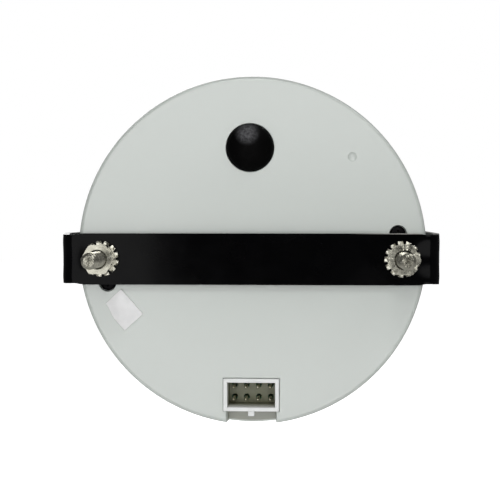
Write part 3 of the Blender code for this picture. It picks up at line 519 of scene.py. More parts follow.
# %% Holes, sinks and the latch notch
# Each hole has a place, the round at its mouth, and its (radius, end in Y) steps.
SINK_Y = REAR_Y + 2.0 * MM
HOLES = [(spot, 0.12 * MM, [(2.75 * MM, -43.0 * MM)]) for spot in STUDS.values()]
HOLES += [(spot, 0.18 * MM, [(2.1 * MM, SINK_Y), (1.2 * MM, -49.0 * MM)]) for spot in CASE_SCREWS.values()]
HOLES += [(BUTTON, 0.1 * MM, [(5.92 * MM, SINK_Y), (2.6 * MM, -48.5 * MM)])]
HOLES += [(middle("vent_patch"), 0.1 * MM, [(1.0 * MM, -50.5 * MM)])]
for spot, edge, steps in HOLES:
    combine(cup, turned("drill", mouth(edge, REAR_Y - 0.01 * MM, steps), spot, 72))
PILOT_R = 1.2 * MM
for spot in BOARD_SCREWS:
    pilot = [(REAR_Y + 3.5 * MM, PILOT_R, PILOT_R), (-44.0 * MM, PILOT_R, PILOT_R)]
    combine(cup, drawn("pilot", pilot, spot, 32))


def pocket(half_x, half_z, draft, edge, deep_y):
    """Sections of a rectangular cutter with drafted sides and a chamfered mouth."""
    return [(deep_y, half_x - draft, half_z - draft / 2), (REAR_Y + edge, half_x, half_z),
            (REAR_Y - 0.01 * MM, half_x + edge, half_z + edge), (REAR_Y - MM, half_x + edge, half_z + edge)]


CLEARANCE, MOUTH_CHAMFER, NOTCH_HALF_Z = 0.08 * MM, 0.15 * MM, 7.0 * MM
combine(cup, drawn("header_hole", pocket(SHROUD_HALF_X + CLEARANCE, SHROUD_HALF_Z + CLEARANCE, 0.0,
                                         MOUTH_CHAMFER, FLOOR_Y + 0.5 * MM), HEADER))
notch_spot = Vector((0, 0, HEADER.z - NOTCH_HALF_Z))
combine(cup, drawn("notch", pocket(NOTCH_HALF_WIDTH, NOTCH_HALF_Z, NOTCH_DRAFT, MOUTH_CHAMFER,
                                   REAR_Y + NOTCH_DEPTH), notch_spot))
print("cup with holes:", len(cup.data.polygons), "faces")

# %% [markdown]
# A small round dimple on the rear face is where an ejector or the gate met the part. A ball of the
# right radius, sunk by the dimple's depth, cuts it.

# %% Moulding mark, shading and hand-over
DIMPLE_AT = Vector((24.5 * MM, 0, 22.9 * MM))
DIMPLE_R, DIMPLE_DEPTH = 1.15 * MM, 0.35 * MM
ball_radius = (DIMPLE_R ** 2 + DIMPLE_DEPTH ** 2) / (2 * DIMPLE_DEPTH)
ball_at = DIMPLE_AT + Vector((0, REAR_Y + DIMPLE_DEPTH - ball_radius, 0))
bpy.ops.mesh.primitive_uv_sphere_add(segments=64, ring_count=48, radius=ball_radius, location=ball_at)
combine(cup, started("ball"))
shade(cup, 28)
hand_over(cup, "gauge", "white_abs", ABS, "rear_housing")

# %% [markdown]
# ## The strap
# The strap is a strip of 1.5 mm steel with both ends bent forwards. A press brake does it in two
# strokes, and the model follows: the strip's cross-section is extruded up one leg, spun round the
# bend, extruded along the back, spun again and extruded down the other leg. At each bend the metal
# can't stay flat across its width: the middle sinks and the outer corners draw in, which is what bends
# the reflections there. Proportional moves make both.

# %% Strip, bent twice
STRAP_THICK = 1.5 * MM
BEND_R = 2.75 * MM
strap_low, strap_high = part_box("clamp_bracket")
strap_width = strap_high.z - strap_low.z
bend = Vector(((strap_high.x - strap_low.x) / 2 - BEND_R, strap_low.y + BEND_R, strap_middle.z))
NEAR_BEND = [0.5 * MM, 0.7 * MM, 0.9 * MM, 1.2 * MM, 1.6 * MM, 2.2 * MM]

first = Vector((strap_low.x + STRAP_THICK / 2, strap_high.y, strap_middle.z))
bpy.ops.mesh.primitive_grid_add(x_subdivisions=1, y_subdivisions=16, size=1, location=first,
                                rotation=(math.pi / 2, 0, 0))
strap = started("clamp_strap")
edit(strap)
bpy.ops.transform.resize(value=(STRAP_THICK, 1, strap_width), center_override=first)


def run_out(direction, steps):
    """Extrude the selected end in steps along a direction."""
    for step in steps:
        bpy.ops.mesh.extrude_region_move(TRANSFORM_OT_translate={"value": direction * step})


def bend_round(centre_x):
    bpy.ops.mesh.spin(steps=14, angle=-math.pi / 2, center=(strap_middle.x + centre_x, bend.y, 0),
                      axis=(0, 0, 1))


leg = strap_high.y - bend.y
back = 2 * bend.x
near = sum(NEAR_BEND)
run_out(Vector((0, -1, 0)), [leg - near, *reversed(NEAR_BEND)])
bend_round(-bend.x)
run_out(Vector((1, 0, 0)), [*NEAR_BEND, back - 2 * near, *reversed(NEAR_BEND)])
bend_round(bend.x)
run_out(Vector((0, 1, 0)), [*NEAR_BEND, leg - near])
clean(strap)
print("strap:", len(strap.data.polygons), "faces")

# %% Sink the middle of each bend and draw in its corners
SINK = 0.34 * MM
DRAW_IN, CORNER_REACH = 0.3 * MM, 2.2 * MM


def at_bend(vertex, side):
    return (vertex.co.x - strap_middle.x) * side > bend.x - 0.6 * MM and vertex.co.y < bend.y - 0.3 * MM


edit(strap)
for side in (-1, 1):
    moved = nudge(strap, lambda vertex: at_bend(vertex, side) and abs(vertex.co.z - bend.z) < 0.1 * MM,
                  (-side * SINK * 0.15, SINK, 0), strap_width * 0.46)
    for end, edge_z in ((1, strap_high.z), (-1, strap_low.z)):
        nudge(strap, lambda vertex: at_bend(vertex, side) and abs(vertex.co.z - edge_z) < 0.01 * MM,
              (-side * DRAW_IN / 3, 0, -end * DRAW_IN), CORNER_REACH)
object_mode()
print("vertices on a bend's middle line:", moved)

# %% [markdown]
# The holes for the studs are punched, and the last bevel is the small radius that tumbling and paint
# leave on every edge. It is what catches the light along the top of the strap.

# %% Punch, round and hand over
PUNCH_R = 2.3 * MM
for spot in STUDS.values():
    punch = [(strap_low.y - MM, PUNCH_R, PUNCH_R), (strap_low.y + 2 * STRAP_THICK, PUNCH_R, PUNCH_R)]
    combine(strap, drawn("punch", punch, spot, 64))
soften(strap, 0.22 * MM, 3, 45)
clean(strap, 0.004 * MM)
shade(strap, 30)
hand_over(strap, "clamp", "black_paint", ENAMEL, "clamp_bracket")

# %% [markdown]
# ## Threads
# A rolled M4 thread climbs 0.7 mm a turn. The usual trick is a zigzag outline, one tooth for every
# turn, and a Screw modifier that goes round once while it rises one pitch: each tooth then meets the
# next one and the surface closes on itself. Two bisects trim the ends flat. The same rod, a little
# larger, cuts the thread inside the nut, so that the two stay in mesh as the nut turns.

# %% A threaded rod
PITCH = 0.7 * MM
MAJOR_R = 2.0 * MM
MINOR_R = 1.57 * MM


def threaded_rod(name, spot, low_y, high_y, extra=0.0):
    """A closed rod with a helical thread between two planes across Y, larger by extra to cut a nut."""
    turns = math.ceil((high_y - low_y) / PITCH) + 3
    crest, root = PITCH / 8, PITCH / 4
    flank = (PITCH - crest - root) / 2
    depth = MAJOR_R - MINOR_R
    start_y = math.floor(low_y / PITCH - 2) * PITCH
    tooth = [(MINOR_R + extra, 0), (MINOR_R + extra, root), (MINOR_R + extra + depth, root + flank),
             (MINOR_R + extra + depth, root + flank + crest), (MINOR_R + extra, PITCH)]
    rod = outline_vertices(name, tooth, Vector())
    object_mode()
    apply(rod, "ARRAY", use_relative_offset=False, use_constant_offset=True, count=turns,
          constant_offset_displace=(0, PITCH, 0), use_merge_vertices=True, merge_threshold=0.001 * MM)
    apply(rod, "SCREW", axis="Y", screw_offset=PITCH, steps=36, render_steps=36, iterations=1)
    rod.location = (spot.x, start_y, spot.z)
    settle(rod)
    clean(rod, 0.002 * MM)
    edit(rod)
    for y, way in ((low_y, -1), (high_y, 1)):
        bpy.ops.mesh.select_all(action="SELECT")
        bpy.ops.mesh.bisect(plane_co=(0, y, 0), plane_no=(0, way, 0), use_fill=True, clear_outer=True,
                            threshold=1e-7)
    clean(rod)
    return rod


# %% [markdown]
# ## Studs
# Each stud is screwed into a boss of the cup and stands out 17 mm. Its tip is chamfered to let the nut
# start. The left one was sheared and its end is only uneven. The right one was cut off with pliers and
# is torn. A few small random moves rough both ends up.

# %% Two studs
TIP_CHAMFER = 0.72 * MM
STUD_ROOT_R, STUD_ROOT_Y = 2.6 * MM, REAR_Y + 0.5 * MM
SHIFT = STUDS["right"] - STUDS["left"]

low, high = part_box("stud_left")
stud = threaded_rod("threaded_stud_left", STUDS["left"], low.y, STUD_ROOT_Y + 0.4 * MM)
outside = MAJOR_R + 0.05 * MM
blank = [(0, low.y), (MAJOR_R - TIP_CHAMFER, low.y), (outside, low.y + TIP_CHAMFER), (outside, high.y),
         (0, high.y)]
combine(stud, turned("blank", blank, STUDS["left"], 64), "INTERSECT")
root = [(0, STUD_ROOT_Y), (STUD_ROOT_R - 0.15 * MM, STUD_ROOT_Y),
        (STUD_ROOT_R, STUD_ROOT_Y + 0.15 * MM), (STUD_ROOT_R, high.y), (0, high.y)]
combine(stud, turned("root", root, STUDS["left"], 48), "UNION")
torn = copied(stud, "threaded_stud_right", SHIFT)
for piece, sunk, torn_by in ((stud, 0.02 * MM, 0.035 * MM), (torn, 0.12 * MM, 0.13 * MM)):
    edit(piece)
    pick(piece, "FACE", lambda face: face.calc_center_median().y < low.y + 0.02 * MM)
    bpy.ops.mesh.poke()
    bpy.ops.mesh.subdivide(number_cuts=2)
    bpy.ops.transform.translate(value=(0, sunk, 0))
    bpy.ops.transform.vertex_random(offset=torn_by, seed=5)
    object_mode()
for piece, side in ((stud, "left"), (torn, "right")):
    shade(piece, 24)
    hand_over(piece, "gauge", "zinc_plate", ZINC, f"stud_{side}")

# %% [markdown]
# ## Nuts
# An M4 nut is 7 mm across its flats. It is cut from hexagon bar, and both its faces are turned to a
# 30 degree cone, which leaves the curved edges where the cone meets the flats. A six-sided cylinder
# intersected with a turned cone form gives exactly that. The thread's mouth is opened steeply, which
# leaves a dark ring round the stud.

# %% Two nuts
NUT_FLATS = 7.0 * MM
COUNTERSINK_R, COUNTERSINK_STEEP = 2.4 * MM, 2.2
spot = STUDS["left"]
low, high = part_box("nut_left")
corner = NUT_FLATS / math.sqrt(3)
bpy.ops.mesh.primitive_cylinder_add(vertices=6, radius=corner, depth=high.y - low.y,
                                    location=(spot.x, (low.y + high.y) / 2, spot.z),
                                    rotation=(math.pi / 2, math.pi / 6, 0))
nut = started("hex_nut_left")
FACE_R = corner - 0.2 * MM
drop = (corner - FACE_R) * math.tan(math.radians(30))
cone = [(0, low.y), (FACE_R, low.y), (corner, low.y + drop),
        (corner, high.y - drop), (FACE_R, high.y), (0, high.y)]
combine(nut, turned("cone", cone, spot, 96), "INTERSECT")
combine(nut, threaded_rod("tap", spot, low.y - MM, high.y + MM, 0.1 * MM))
sink = (COUNTERSINK_R - MINOR_R) * COUNTERSINK_STEEP
for y, out in ((low.y, -1), (high.y, 1)):
    outline = [(0, y + out * MM), (COUNTERSINK_R, y + out * MM), (COUNTERSINK_R, y),
               (MINOR_R, y - out * sink), (0, y - out * sink)]
    combine(nut, turned("countersink", outline, spot, 64))
soften(nut, 0.05 * MM, 1, 50)
shade(nut, 18)
print("nut across corners", round(nut.dimensions.x / MM, 2), "mm")
hand_over(copied(nut, "hex_nut_right", SHIFT), "right_nut", "zinc_plate", ZINC, "nut_right")
hand_over(nut, "left_nut", "zinc_plate", ZINC, "nut_left")

# %% [markdown]
# ## Toothed washers
# A lock washer is stamped from 0.45 mm spring steel, and its thirteen teeth are twisted so that their
# corners bite. One sector is made flat: a short radial line is spun over a thirteenth of a turn, the
# middle of its rim is extruded outwards and twisted about the radius. Spin then lays down the other
# twelve, and Solidify gives the sheet its thickness. Both washers hang loose on their studs, a little
# towards each other.

# %% Two toothed washers
TEETH = 13
SECTOR = math.tau / TEETH
SHEET = 0.45 * MM
BORE_R, ROOT_R, TOOTH_R = 2.3 * MM, 3.6 * MM, 4.35 * MM
LOOSE = Vector((0.26, 0, 0.08)) * MM
TWIST = math.radians(24)
spot = STUDS["left"] + LOOSE
washer_y = middle("tooth_washer_left").y

washer = outline_vertices("toothed_washer_left", [(BORE_R, washer_y), (2.9 * MM, washer_y),
                                                  (ROOT_R, washer_y)], spot)
bpy.ops.mesh.select_all(action="SELECT")
bpy.ops.mesh.spin(steps=8, angle=SECTOR, center=spot, axis=(0, 1, 0))
centre = Vector((spot.x, washer_y, spot.z))
rim = [vertex.co for vertex in bmesh.from_edit_mesh(washer.data).verts
       if (vertex.co - centre).length > ROOT_R - 0.02 * MM]
radial = (sum(rim, Vector()) / len(rim) - centre).normalized()
tooth_half = ROOT_R * math.sin(SECTOR * 0.4)
pick(washer, "EDGE", lambda edge: all(
    (end.co - centre).length > ROOT_R - 0.02 * MM
    and (end.co - centre - radial * (end.co - centre).dot(radial)).length < tooth_half
    for end in edge.verts))
for _ in range(2):
    bpy.ops.mesh.extrude_region_move(TRANSFORM_OT_translate={"value": radial * (TOOTH_R - ROOT_R) / 2})
corners = [vertex for vertex in bmesh.from_edit_mesh(washer.data).verts if vertex.select]
slope = Vector((-radial.z, 0, radial.x))
for vertex in corners:
    vertex.co.y += (vertex.co - centre).dot(slope) * math.sin(TWIST)
bmesh.update_edit_mesh(washer.data)
bpy.ops.mesh.select_all(action="SELECT")
bpy.ops.mesh.spin(steps=TEETH - 1, dupli=True, angle=SECTOR * (TEETH - 1), center=spot, axis=(0, 1, 0))
clean(washer)
apply(washer, "SOLIDIFY", thickness=SHEET, offset=0.0, use_even_offset=True)
soften(washer, 0.05 * MM, 1, 50)
shade(washer, 30)
print("washer across teeth", round(washer.dimensions.x / MM, 2), "mm")
right_washer = copied(washer, "toothed_washer_right", SHIFT - Vector((2 * LOOSE.x, 0, 0)))
hand_over(right_washer, "clamp", "zinc_plate", PRESSED_ZINC, "tooth_washer_right")
hand_over(washer, "clamp", "zinc_plate", PRESSED_ZINC, "tooth_washer_left")

# %% [markdown]
# ## The set button
# The button is one moulding of silicone rubber: a crowned dome that fills a sink in the cup, and a stem
# behind it that reaches the switch. It is turned from one outline, a flat arc for the crown that runs
# smoothly into a tighter one for the shoulder, because a corner between them would catch the light.

# %% Button
button_low, button_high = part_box("button_cap")
CROWN_R, SHOULDER_R = 10.0 * MM, 1.9 * MM
DOME_R = size("button_cap").x / 2
FOOT_Y = REAR_Y + 0.8 * MM
STEM_R = 2.3 * MM
lean = math.asin((DOME_R - SHOULDER_R) / (CROWN_R - SHOULDER_R))
crown = arc((0, button_low.y + CROWN_R), CROWN_R, 270, 270 + math.degrees(lean), 12)
shoulder_at = (DOME_R - SHOULDER_R, button_low.y + CROWN_R - (CROWN_R - SHOULDER_R) * math.cos(lean))
shoulder = arc(shoulder_at, SHOULDER_R, 270 + math.degrees(lean), 355, 12)[1:]
stem = [(DOME_R, FOOT_Y), (STEM_R, FOOT_Y), (STEM_R, button_high.y), (0, button_high.y)]
button = turned("set_button_cap", crown + shoulder + stem, BUTTON, 96)
shade(button, 40)
hand_over(button, "set_button", "black_rubber", RUBBER, "button_cap")

# %% [markdown]
# ## The vent patch
# A breather hole lets the gauge's air out, and a white porous patch keeps water from it. The patch is
# punched from film on foam and pressed on by hand, so its face is crowned, its edges are soft, one
# corner is squeezed in and the edge towards the light is rolled down. Proportional moves shape it.

# %% Vent patch
patch_low, patch_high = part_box("vent_patch")
PATCH = Vector((8.1 * MM, patch_high.y - patch_low.y, 6.1 * MM))
PATCH_TURN = math.radians(48.4)
bpy.ops.mesh.primitive_cube_add(size=1)
patch = started("vent_film_patch")
edit(patch)
bpy.ops.transform.resize(value=PATCH, center_override=Vector())
bpy.ops.mesh.subdivide(number_cuts=7)
back_y = -PATCH.y / 2
ALMOST_HALF = 0.49
edge_x, edge_z = PATCH.x * ALMOST_HALF, PATCH.z * ALMOST_HALF
nudge(patch, lambda vertex: vertex.co.y < back_y + 0.01 * MM
      and (abs(vertex.co.x) > edge_x or abs(vertex.co.z) > edge_z), (0, 0.42 * MM, 0), 2.8 * MM)
nudge(patch, lambda vertex: vertex.co.x < -edge_x and vertex.co.z < -edge_z,
      (0.1 * MM, 0, 0.9 * MM), 4.5 * MM)
nudge(patch, lambda vertex: vertex.co.y < 0 and vertex.co.z > PATCH.z * 0.42,
      (0, 0.28 * MM, 0), 4.0 * MM, "SHARP")
object_mode()
soften(patch, 0.18 * MM, 3, 40)
patch.location = (patch_low + patch_high) / 2 + Vector((-0.35 * MM, 0, 0.3 * MM))
patch.rotation_euler = (0, PATCH_TURN, 0)
settle(patch)
shade(patch, 50)
hand_over(patch, "gauge", "vent_film", FILM, "vent_patch")

# %% [markdown]
# ## The header
# The connector at the bottom is a moulded nylon shroud round eight square pins. The well and the holes
# for the pins are cut with drafted, flared cutters, as the mould's core would leave them. A small rib
# under the shroud takes the plug's latch. A pin is wire cut from a strip and pressed to a point, so it
# grows through a few sections; one pin is made and seven are copied.

# %% Shroud
HEADER_WALL = 0.95 * MM
WELL_DEPTH = 8.6 * MM
PIN_WELL_R = 0.72 * MM
LATCH_RIB = Vector((1.5 * MM, 5.0 * MM, 1.2 * MM))
rim_y, foot_y = span_y("header_shroud")
shroud = drawn("nylon_shroud", [(rim_y, SHROUD_HALF_X, SHROUD_HALF_Z),
                                (foot_y, SHROUD_HALF_X, SHROUD_HALF_Z)], HEADER)
rib_at = Vector((0, 0, HEADER.z - SHROUD_HALF_Z - LATCH_RIB.z / 4))
rib_half = (LATCH_RIB.x / 2, LATCH_RIB.z * 0.75)
rib = drawn("rib", [(rim_y + 0.3 * MM, *rib_half), (rim_y + LATCH_RIB.y, *rib_half)], rib_at)
combine(shroud, rib, "UNION")
soften(shroud, 0.16 * MM, 3, 50)
inner_x, inner_z = SHROUD_HALF_X - HEADER_WALL, SHROUD_HALF_Z - HEADER_WALL
draft, edge = 0.08 * MM, 0.12 * MM
well = [(rim_y + WELL_DEPTH, inner_x - draft, inner_z - draft), (rim_y + edge, inner_x, inner_z),
        (rim_y - 0.01 * MM, inner_x + edge, inner_z + edge), (rim_y - MM, inner_x + edge, inner_z + edge)]
combine(shroud, drawn("well", well, HEADER))
PINS = [f"header_pin_{number}" for number in range(1, 9)]
for node in PINS:
    hole = mouth(0.08 * MM, rim_y + WELL_DEPTH - 0.01 * MM, [(PIN_WELL_R, foot_y + MM)])
    combine(shroud, turned("pin_hole", hole, middle(node), 24))
shade(shroud, 35)
hand_over(shroud, "gauge", "natural_nylon", NYLON, "header_shroud")

# %% Eight pins
tip_y, tail_y = span_y(PINS[0])
taper = [(tip_y, 0.12), (tip_y + 0.08 * MM, 0.16), (tip_y + 0.55 * MM, 0.3), (tip_y + 0.65 * MM, 0.32),
         (tail_y - 0.4 * MM, 0.32), (tail_y, 0.16)]
pin = drawn("tinned_pin_1", [(y, half * MM, half * MM) for y, half in taper], middle(PINS[0]))
soften(pin, 0.04 * MM, 2, 40)
shade(pin, 30)
twins = [copied(pin, f"tinned_pin_{number + 1}", middle(PINS[number]) - middle(PINS[0]))
         for number in range(1, 8)]
for node, piece in zip(PINS, [pin, *twins]):
    hand_over(piece, "gauge", "tin_plate", TIN, node)

# %% [markdown]
# ## The case screws
# Two small black screws hold the cup to the frame inside. They are self-tapping screws with a pan head
# and a cross recess. The head is turned from an arc, two tapered blades punch the recess, and the
# thread is left out because it lies inside a post.

# %% Case screws
low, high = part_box("case_screw_left")
HEAD_R, SHANK_R, HEAD_Y = 1.9 * MM, 1.0 * MM, low.y + 1.4 * MM
spot = CASE_SCREWS["left"]
CROWN_REACH, CROWN_DROP, HEAD_FILLET = 1.55 * MM, 0.35 * MM, 0.42 * MM
crown = [(radius, low.y + CROWN_DROP * (radius / HEAD_R) ** 2) for radius in
         (step / 8 * CROWN_REACH for step in range(9))]
edge_arc = arc((HEAD_R - HEAD_FILLET, crown[-1][1] + HEAD_FILLET), HEAD_FILLET, 285, 360, 5)
screw = turned("case_screw_with_cross_recess_left", crown + edge_arc + [
    (HEAD_R, HEAD_Y), (SHANK_R, HEAD_Y), (SHANK_R, high.y - MM), (0, high.y)], spot, 64)
BLADE_LONG, BLADE_THIN, BLADE_TAPER = 0.98 * MM, 0.24 * MM, 0.45
for across, up in ((BLADE_LONG, BLADE_THIN), (BLADE_THIN, BLADE_LONG)):
    blade = [(low.y - MM, across, up), (low.y + 0.1 * MM, across, up),
             (low.y + 0.95 * MM, across * BLADE_TAPER, up * BLADE_TAPER)]
    combine(screw, drawn("blade", blade, spot))
soften(screw, 0.04 * MM, 2, 40)
shade(screw, 35)
right_screw = copied(screw, "case_screw_with_cross_recess_right", CASE_SCREWS["right"] - spot)
for piece, side in ((screw, "left"), (right_screw, "right")):
    hand_over(piece, "gauge", "black_oxide", OXIDE, f"case_screw_{side}")

# %% [markdown]
# ## The front ring, gasket and lens
# The front isn't visible from behind, but the gauge is looked at from all sides. The bezel is turned
# with a deep rounded shoulder and a slope round its opening. The gasket under it has two soft ribs
# that press on the panel. The lens is a disc with small polished chamfers.

# %% Bezel, panel gasket and lens
low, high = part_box("bezel_ring")
BORE_R, BEZEL_R, OPENING_R = 42.8 * MM, high.x, 38.6 * MM
FILLET = 2.2 * MM
LIP_Y = 8.2 * MM
bezel = turned("bezel_ring_turned", [
    (BORE_R, low.y), (BEZEL_R - 0.2 * MM, low.y), (BEZEL_R, low.y + 0.2 * MM),
    *arc((BEZEL_R - FILLET, high.y - FILLET), FILLET, 0, 90, 10),
    (OPENING_R + 1.1 * MM, high.y), (OPENING_R + 0.95 * MM, high.y - 0.05 * MM),
    (OPENING_R, high.y - 0.8 * MM), (OPENING_R, LIP_Y), (BORE_R, LIP_Y)], steps=144, closed=True)
shade(bezel, 30)
hand_over(bezel, "gauge", "black_plastic", POLYCARBONATE, "bezel_ring")

low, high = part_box("panel_gasket")
GASKET_IN, GASKET_OUT, RIB_R = 43.0 * MM, high.x, 0.35 * MM
ribs = []
for rib_x in (GASKET_IN + 0.9 * MM, GASKET_OUT - 0.9 * MM):
    ribs += arc((rib_x, low.y + RIB_R), RIB_R, 180, 360, 6)
gasket = turned("ribbed_panel_gasket", [
    (GASKET_IN, low.y + RIB_R), *ribs, (GASKET_OUT, low.y + RIB_R), (GASKET_OUT, high.y),
    (GASKET_IN, high.y)], steps=144, closed=True)
shade(gasket, 45)
hand_over(gasket, "gauge", "black_rubber", SEAL, "panel_gasket")


def disc(name, node, edge):
    """A disc as large as a node, with a chamfer round both faces."""
    low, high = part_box(node)
    return turned(name, [
        (0, low.y), (high.x - edge, low.y), (high.x, low.y + edge), (high.x, high.y - edge),
        (high.x - edge, high.y), (0, high.y)], steps=144)


lens = disc("acrylic_lens", "lens", 0.25 * MM)
shade(lens, 30)
hand_over(lens, "gauge", "clear_lens", LENS, "lens")

# %% [markdown]
# ## The dial
# The dial is a printed plate with a window for the readout. Round it stands the chapter ring, whose
# slope carries the scale's main marks. The print itself is a few hundredths of a millimetre thick: the
# ticks are one bar laid down round the arc by Spin, and the numbers are text made into a mesh.

# %% Plate, chapter ring and shared places
low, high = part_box("dial_plate")
PRINT = 0.03 * MM
WINDOW_AT = Vector((0, 0, -18 * MM))
edge = 0.1 * MM
WINDOW_X, WINDOW_Z, WINDOW_FLARE, SHAFT_HOLE_R = 12.5 * MM, 5.5 * MM, 0.3 * MM, 1.6 * MM
plate = disc("dial_plate_printed", "dial_plate", edge)
window = [(low.y - MM, WINDOW_X, WINDOW_Z), (high.y - edge, WINDOW_X, WINDOW_Z),
          (high.y + edge, WINDOW_X + WINDOW_FLARE, WINDOW_Z + WINDOW_FLARE)]
combine(plate, drawn("window", window, WINDOW_AT))
combine(plate, drawn("bore", [(low.y - MM, SHAFT_HOLE_R, SHAFT_HOLE_R),
                              (high.y + MM, SHAFT_HOLE_R, SHAFT_HOLE_R)], sides=48))
shade(plate, 30)
hand_over(plate, "gauge", "dial_black", DIAL, "dial_plate")

low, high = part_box("chapter_ring")
chapter = turned("chapter_ring_turned", [
    (36.5 * MM, low.y), (40.0 * MM, low.y), (40.0 * MM, high.y), (39.1 * MM, high.y),
    (39.0 * MM, high.y - 0.1 * MM)], steps=144, closed=True)
shade(chapter, 30)
hand_over(chapter, "gauge", "dial_black", DIAL, "chapter_ring")

# %% Ticks and numbers
SWEEP = math.radians(240)
DIAL_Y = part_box("dial_plate")[1].y


def ticks(name, count, inner, outer, width):
    """A bar at twelve o'clock, turned back to the scale's start and spun along the arc."""
    half = (width / 2, (outer - inner) / 2)
    bar = drawn(name, [(DIAL_Y - PRINT, *half), (DIAL_Y + PRINT, *half)], Vector((0, 0, (inner + outer) / 2)))
    bar.rotation_euler = (0, SWEEP / 2, 0)
    settle(bar)
    edit(bar)
    bpy.ops.mesh.spin(steps=count, dupli=True, angle=SWEEP, center=(0, 0, 0), axis=(0, 1, 0))
    object_mode()
    print(name, "span", round(bar.dimensions.x / MM, 1), "mm")
    hand_over(bar, "gauge", "dial_black", MARKS)


ticks("scale_ticks_main", 10, 30.0 * MM, 35.5 * MM, 0.9 * MM)
ticks("scale_ticks_small", 50, 33.0 * MM, 35.5 * MM, 0.35 * MM)

NUMBER_R = 25.6 * MM
for step in range(6):
    turn = SWEEP / 2 - SWEEP * step / 5
    bpy.ops.object.text_add(location=(NUMBER_R * math.sin(turn), DIAL_Y, NUMBER_R * math.cos(turn)),
                            rotation=(math.pi / 2, 0, math.pi))
    text = bpy.context.object
    text.data.body = str(20 * step)
    text.data.size = 5.6 * MM
    text.data.extrude = PRINT
    text.data.align_x, text.data.align_y = "CENTER", "CENTER"
    bpy.ops.object.convert(target="MESH")
    number = started(f"scale_number_{20 * step}")
    hand_over(number, "gauge", "dial_black", MARKS)

# %% [markdown]
# ## Pointer and readout
# The pointer is punched from thin sheet and painted. It starts as a bar cut across at four stations,
# and each station is resized to its width. The readout behind the window shows three digits, each made
# of plain rectangular bars.

# %% Pointer and its cap
low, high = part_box("pointer_cap")
TIP_R, TAIL_R = 31.0 * MM, 9.0 * MM
HUB_R, NEEDLE_BORE_R = 3.6 * MM, 0.85 * MM
POINTER_LOW, POINTER_HIGH = span_y("pointer")
WIDTHS = [(-TAIL_R, 2.0), (-HUB_R, 2.2), (HUB_R, 1.7), (TIP_R * 0.94, 0.62), (TIP_R, 0.3)]
bar_at = Vector((0, (POINTER_LOW + POINTER_HIGH) / 2, (TIP_R - TAIL_R) / 2))
bpy.ops.mesh.primitive_cube_add(size=1, location=bar_at)
needle = started("painted_pointer")
edit(needle)
bpy.ops.transform.resize(value=(2 * MM, POINTER_HIGH - POINTER_LOW, TIP_R + TAIL_R), center_override=bar_at)
for z, _ in WIDTHS[1:-1]:
    bpy.ops.mesh.select_all(action="SELECT")
    bpy.ops.mesh.bisect(plane_co=(0, 0, z), plane_no=(0, 0, 1))
for z, width in WIDTHS:
    pick(needle, "VERT", lambda vertex: abs(vertex.co.z - z) < 0.05 * MM)
    bpy.ops.transform.resize(value=(width, 1, 1), center_override=(0, 0, z))
object_mode()
hub = [(POINTER_LOW, HUB_R, HUB_R), (POINTER_HIGH, HUB_R, HUB_R)]
combine(needle, drawn("hub", hub, sides=64), "UNION")
bore = [(POINTER_LOW - MM, NEEDLE_BORE_R, NEEDLE_BORE_R), (POINTER_HIGH + MM, NEEDLE_BORE_R, NEEDLE_BORE_R)]
combine(needle, drawn("bore", bore, sides=32))
soften(needle, 0.12 * MM, 2, 45)
needle.rotation_euler = (0, SWEEP / 2, 0)
settle(needle)
shade(needle, 35)
hand_over(needle, "needle", "pointer_red", RED_PAINT, "pointer")

cap_r = high.x
cap = turned("pointer_cap_turned", [
    (0, low.y), (cap_r - 0.15 * MM, low.y), (cap_r, low.y + 0.15 * MM),
    *arc((cap_r - 0.8 * MM, high.y - 0.8 * MM), 0.8 * MM, 0, 80, 6),
    (cap_r - 2.2 * MM, high.y), (cap_r - 2.5 * MM, high.y - 0.12 * MM), (0, high.y - 0.12 * MM)], steps=96)
shade(cap, 30)
hand_over(cap, "needle", "black_plastic", POLYCARBONATE, "pointer_cap")

# %% Readout segments
DIGIT_HALF, PITCH_X = Vector((1.5 * MM, 0, 2.9 * MM)), 6.2 * MM
SEGMENT_PLACES = {"top": (0, 1, 0), "middle": (0, 0, 0), "bottom": (0, -1, 0), "left_up": (1, 0.5, 1),
                  "left_low": (1, -0.5, 1), "right_up": (-1, 0.5, 1), "right_low": (-1, -0.5, 1)}
ONE = ("right_up", "right_low")
ZERO = tuple(segment for segment in SEGMENT_PLACES if segment != "middle")
LONG_HALF, THIN_HALF = 1.3 * MM, 0.32 * MM
glass_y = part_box("lcd_glass")[1].y
print("readout glass face at", round(glass_y / MM, 2))
for digit, lit in enumerate((ONE, ZERO, ZERO)):
    for segment in sorted(lit):
        across, up, upright = SEGMENT_PLACES[segment]
        at = WINDOW_AT + Vector((PITCH_X * (1 - digit) + across * DIGIT_HALF.x, 0, up * DIGIT_HALF.z))
        half = (THIN_HALF, LONG_HALF) if upright else (LONG_HALF, THIN_HALF)
        name = f"segment_{digit + 1}_{segment}"
        bar = drawn(name, [(glass_y - PRINT, *half), (glass_y + PRINT, *half)], at)
        hand_over(bar, "gauge", "readout_glass", SEGMENTS)

# %% [markdown]
# ## The pieces that stay as packed
# Boards, chips, motor and frame are hidden or seen only in part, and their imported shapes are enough.
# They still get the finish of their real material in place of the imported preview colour.

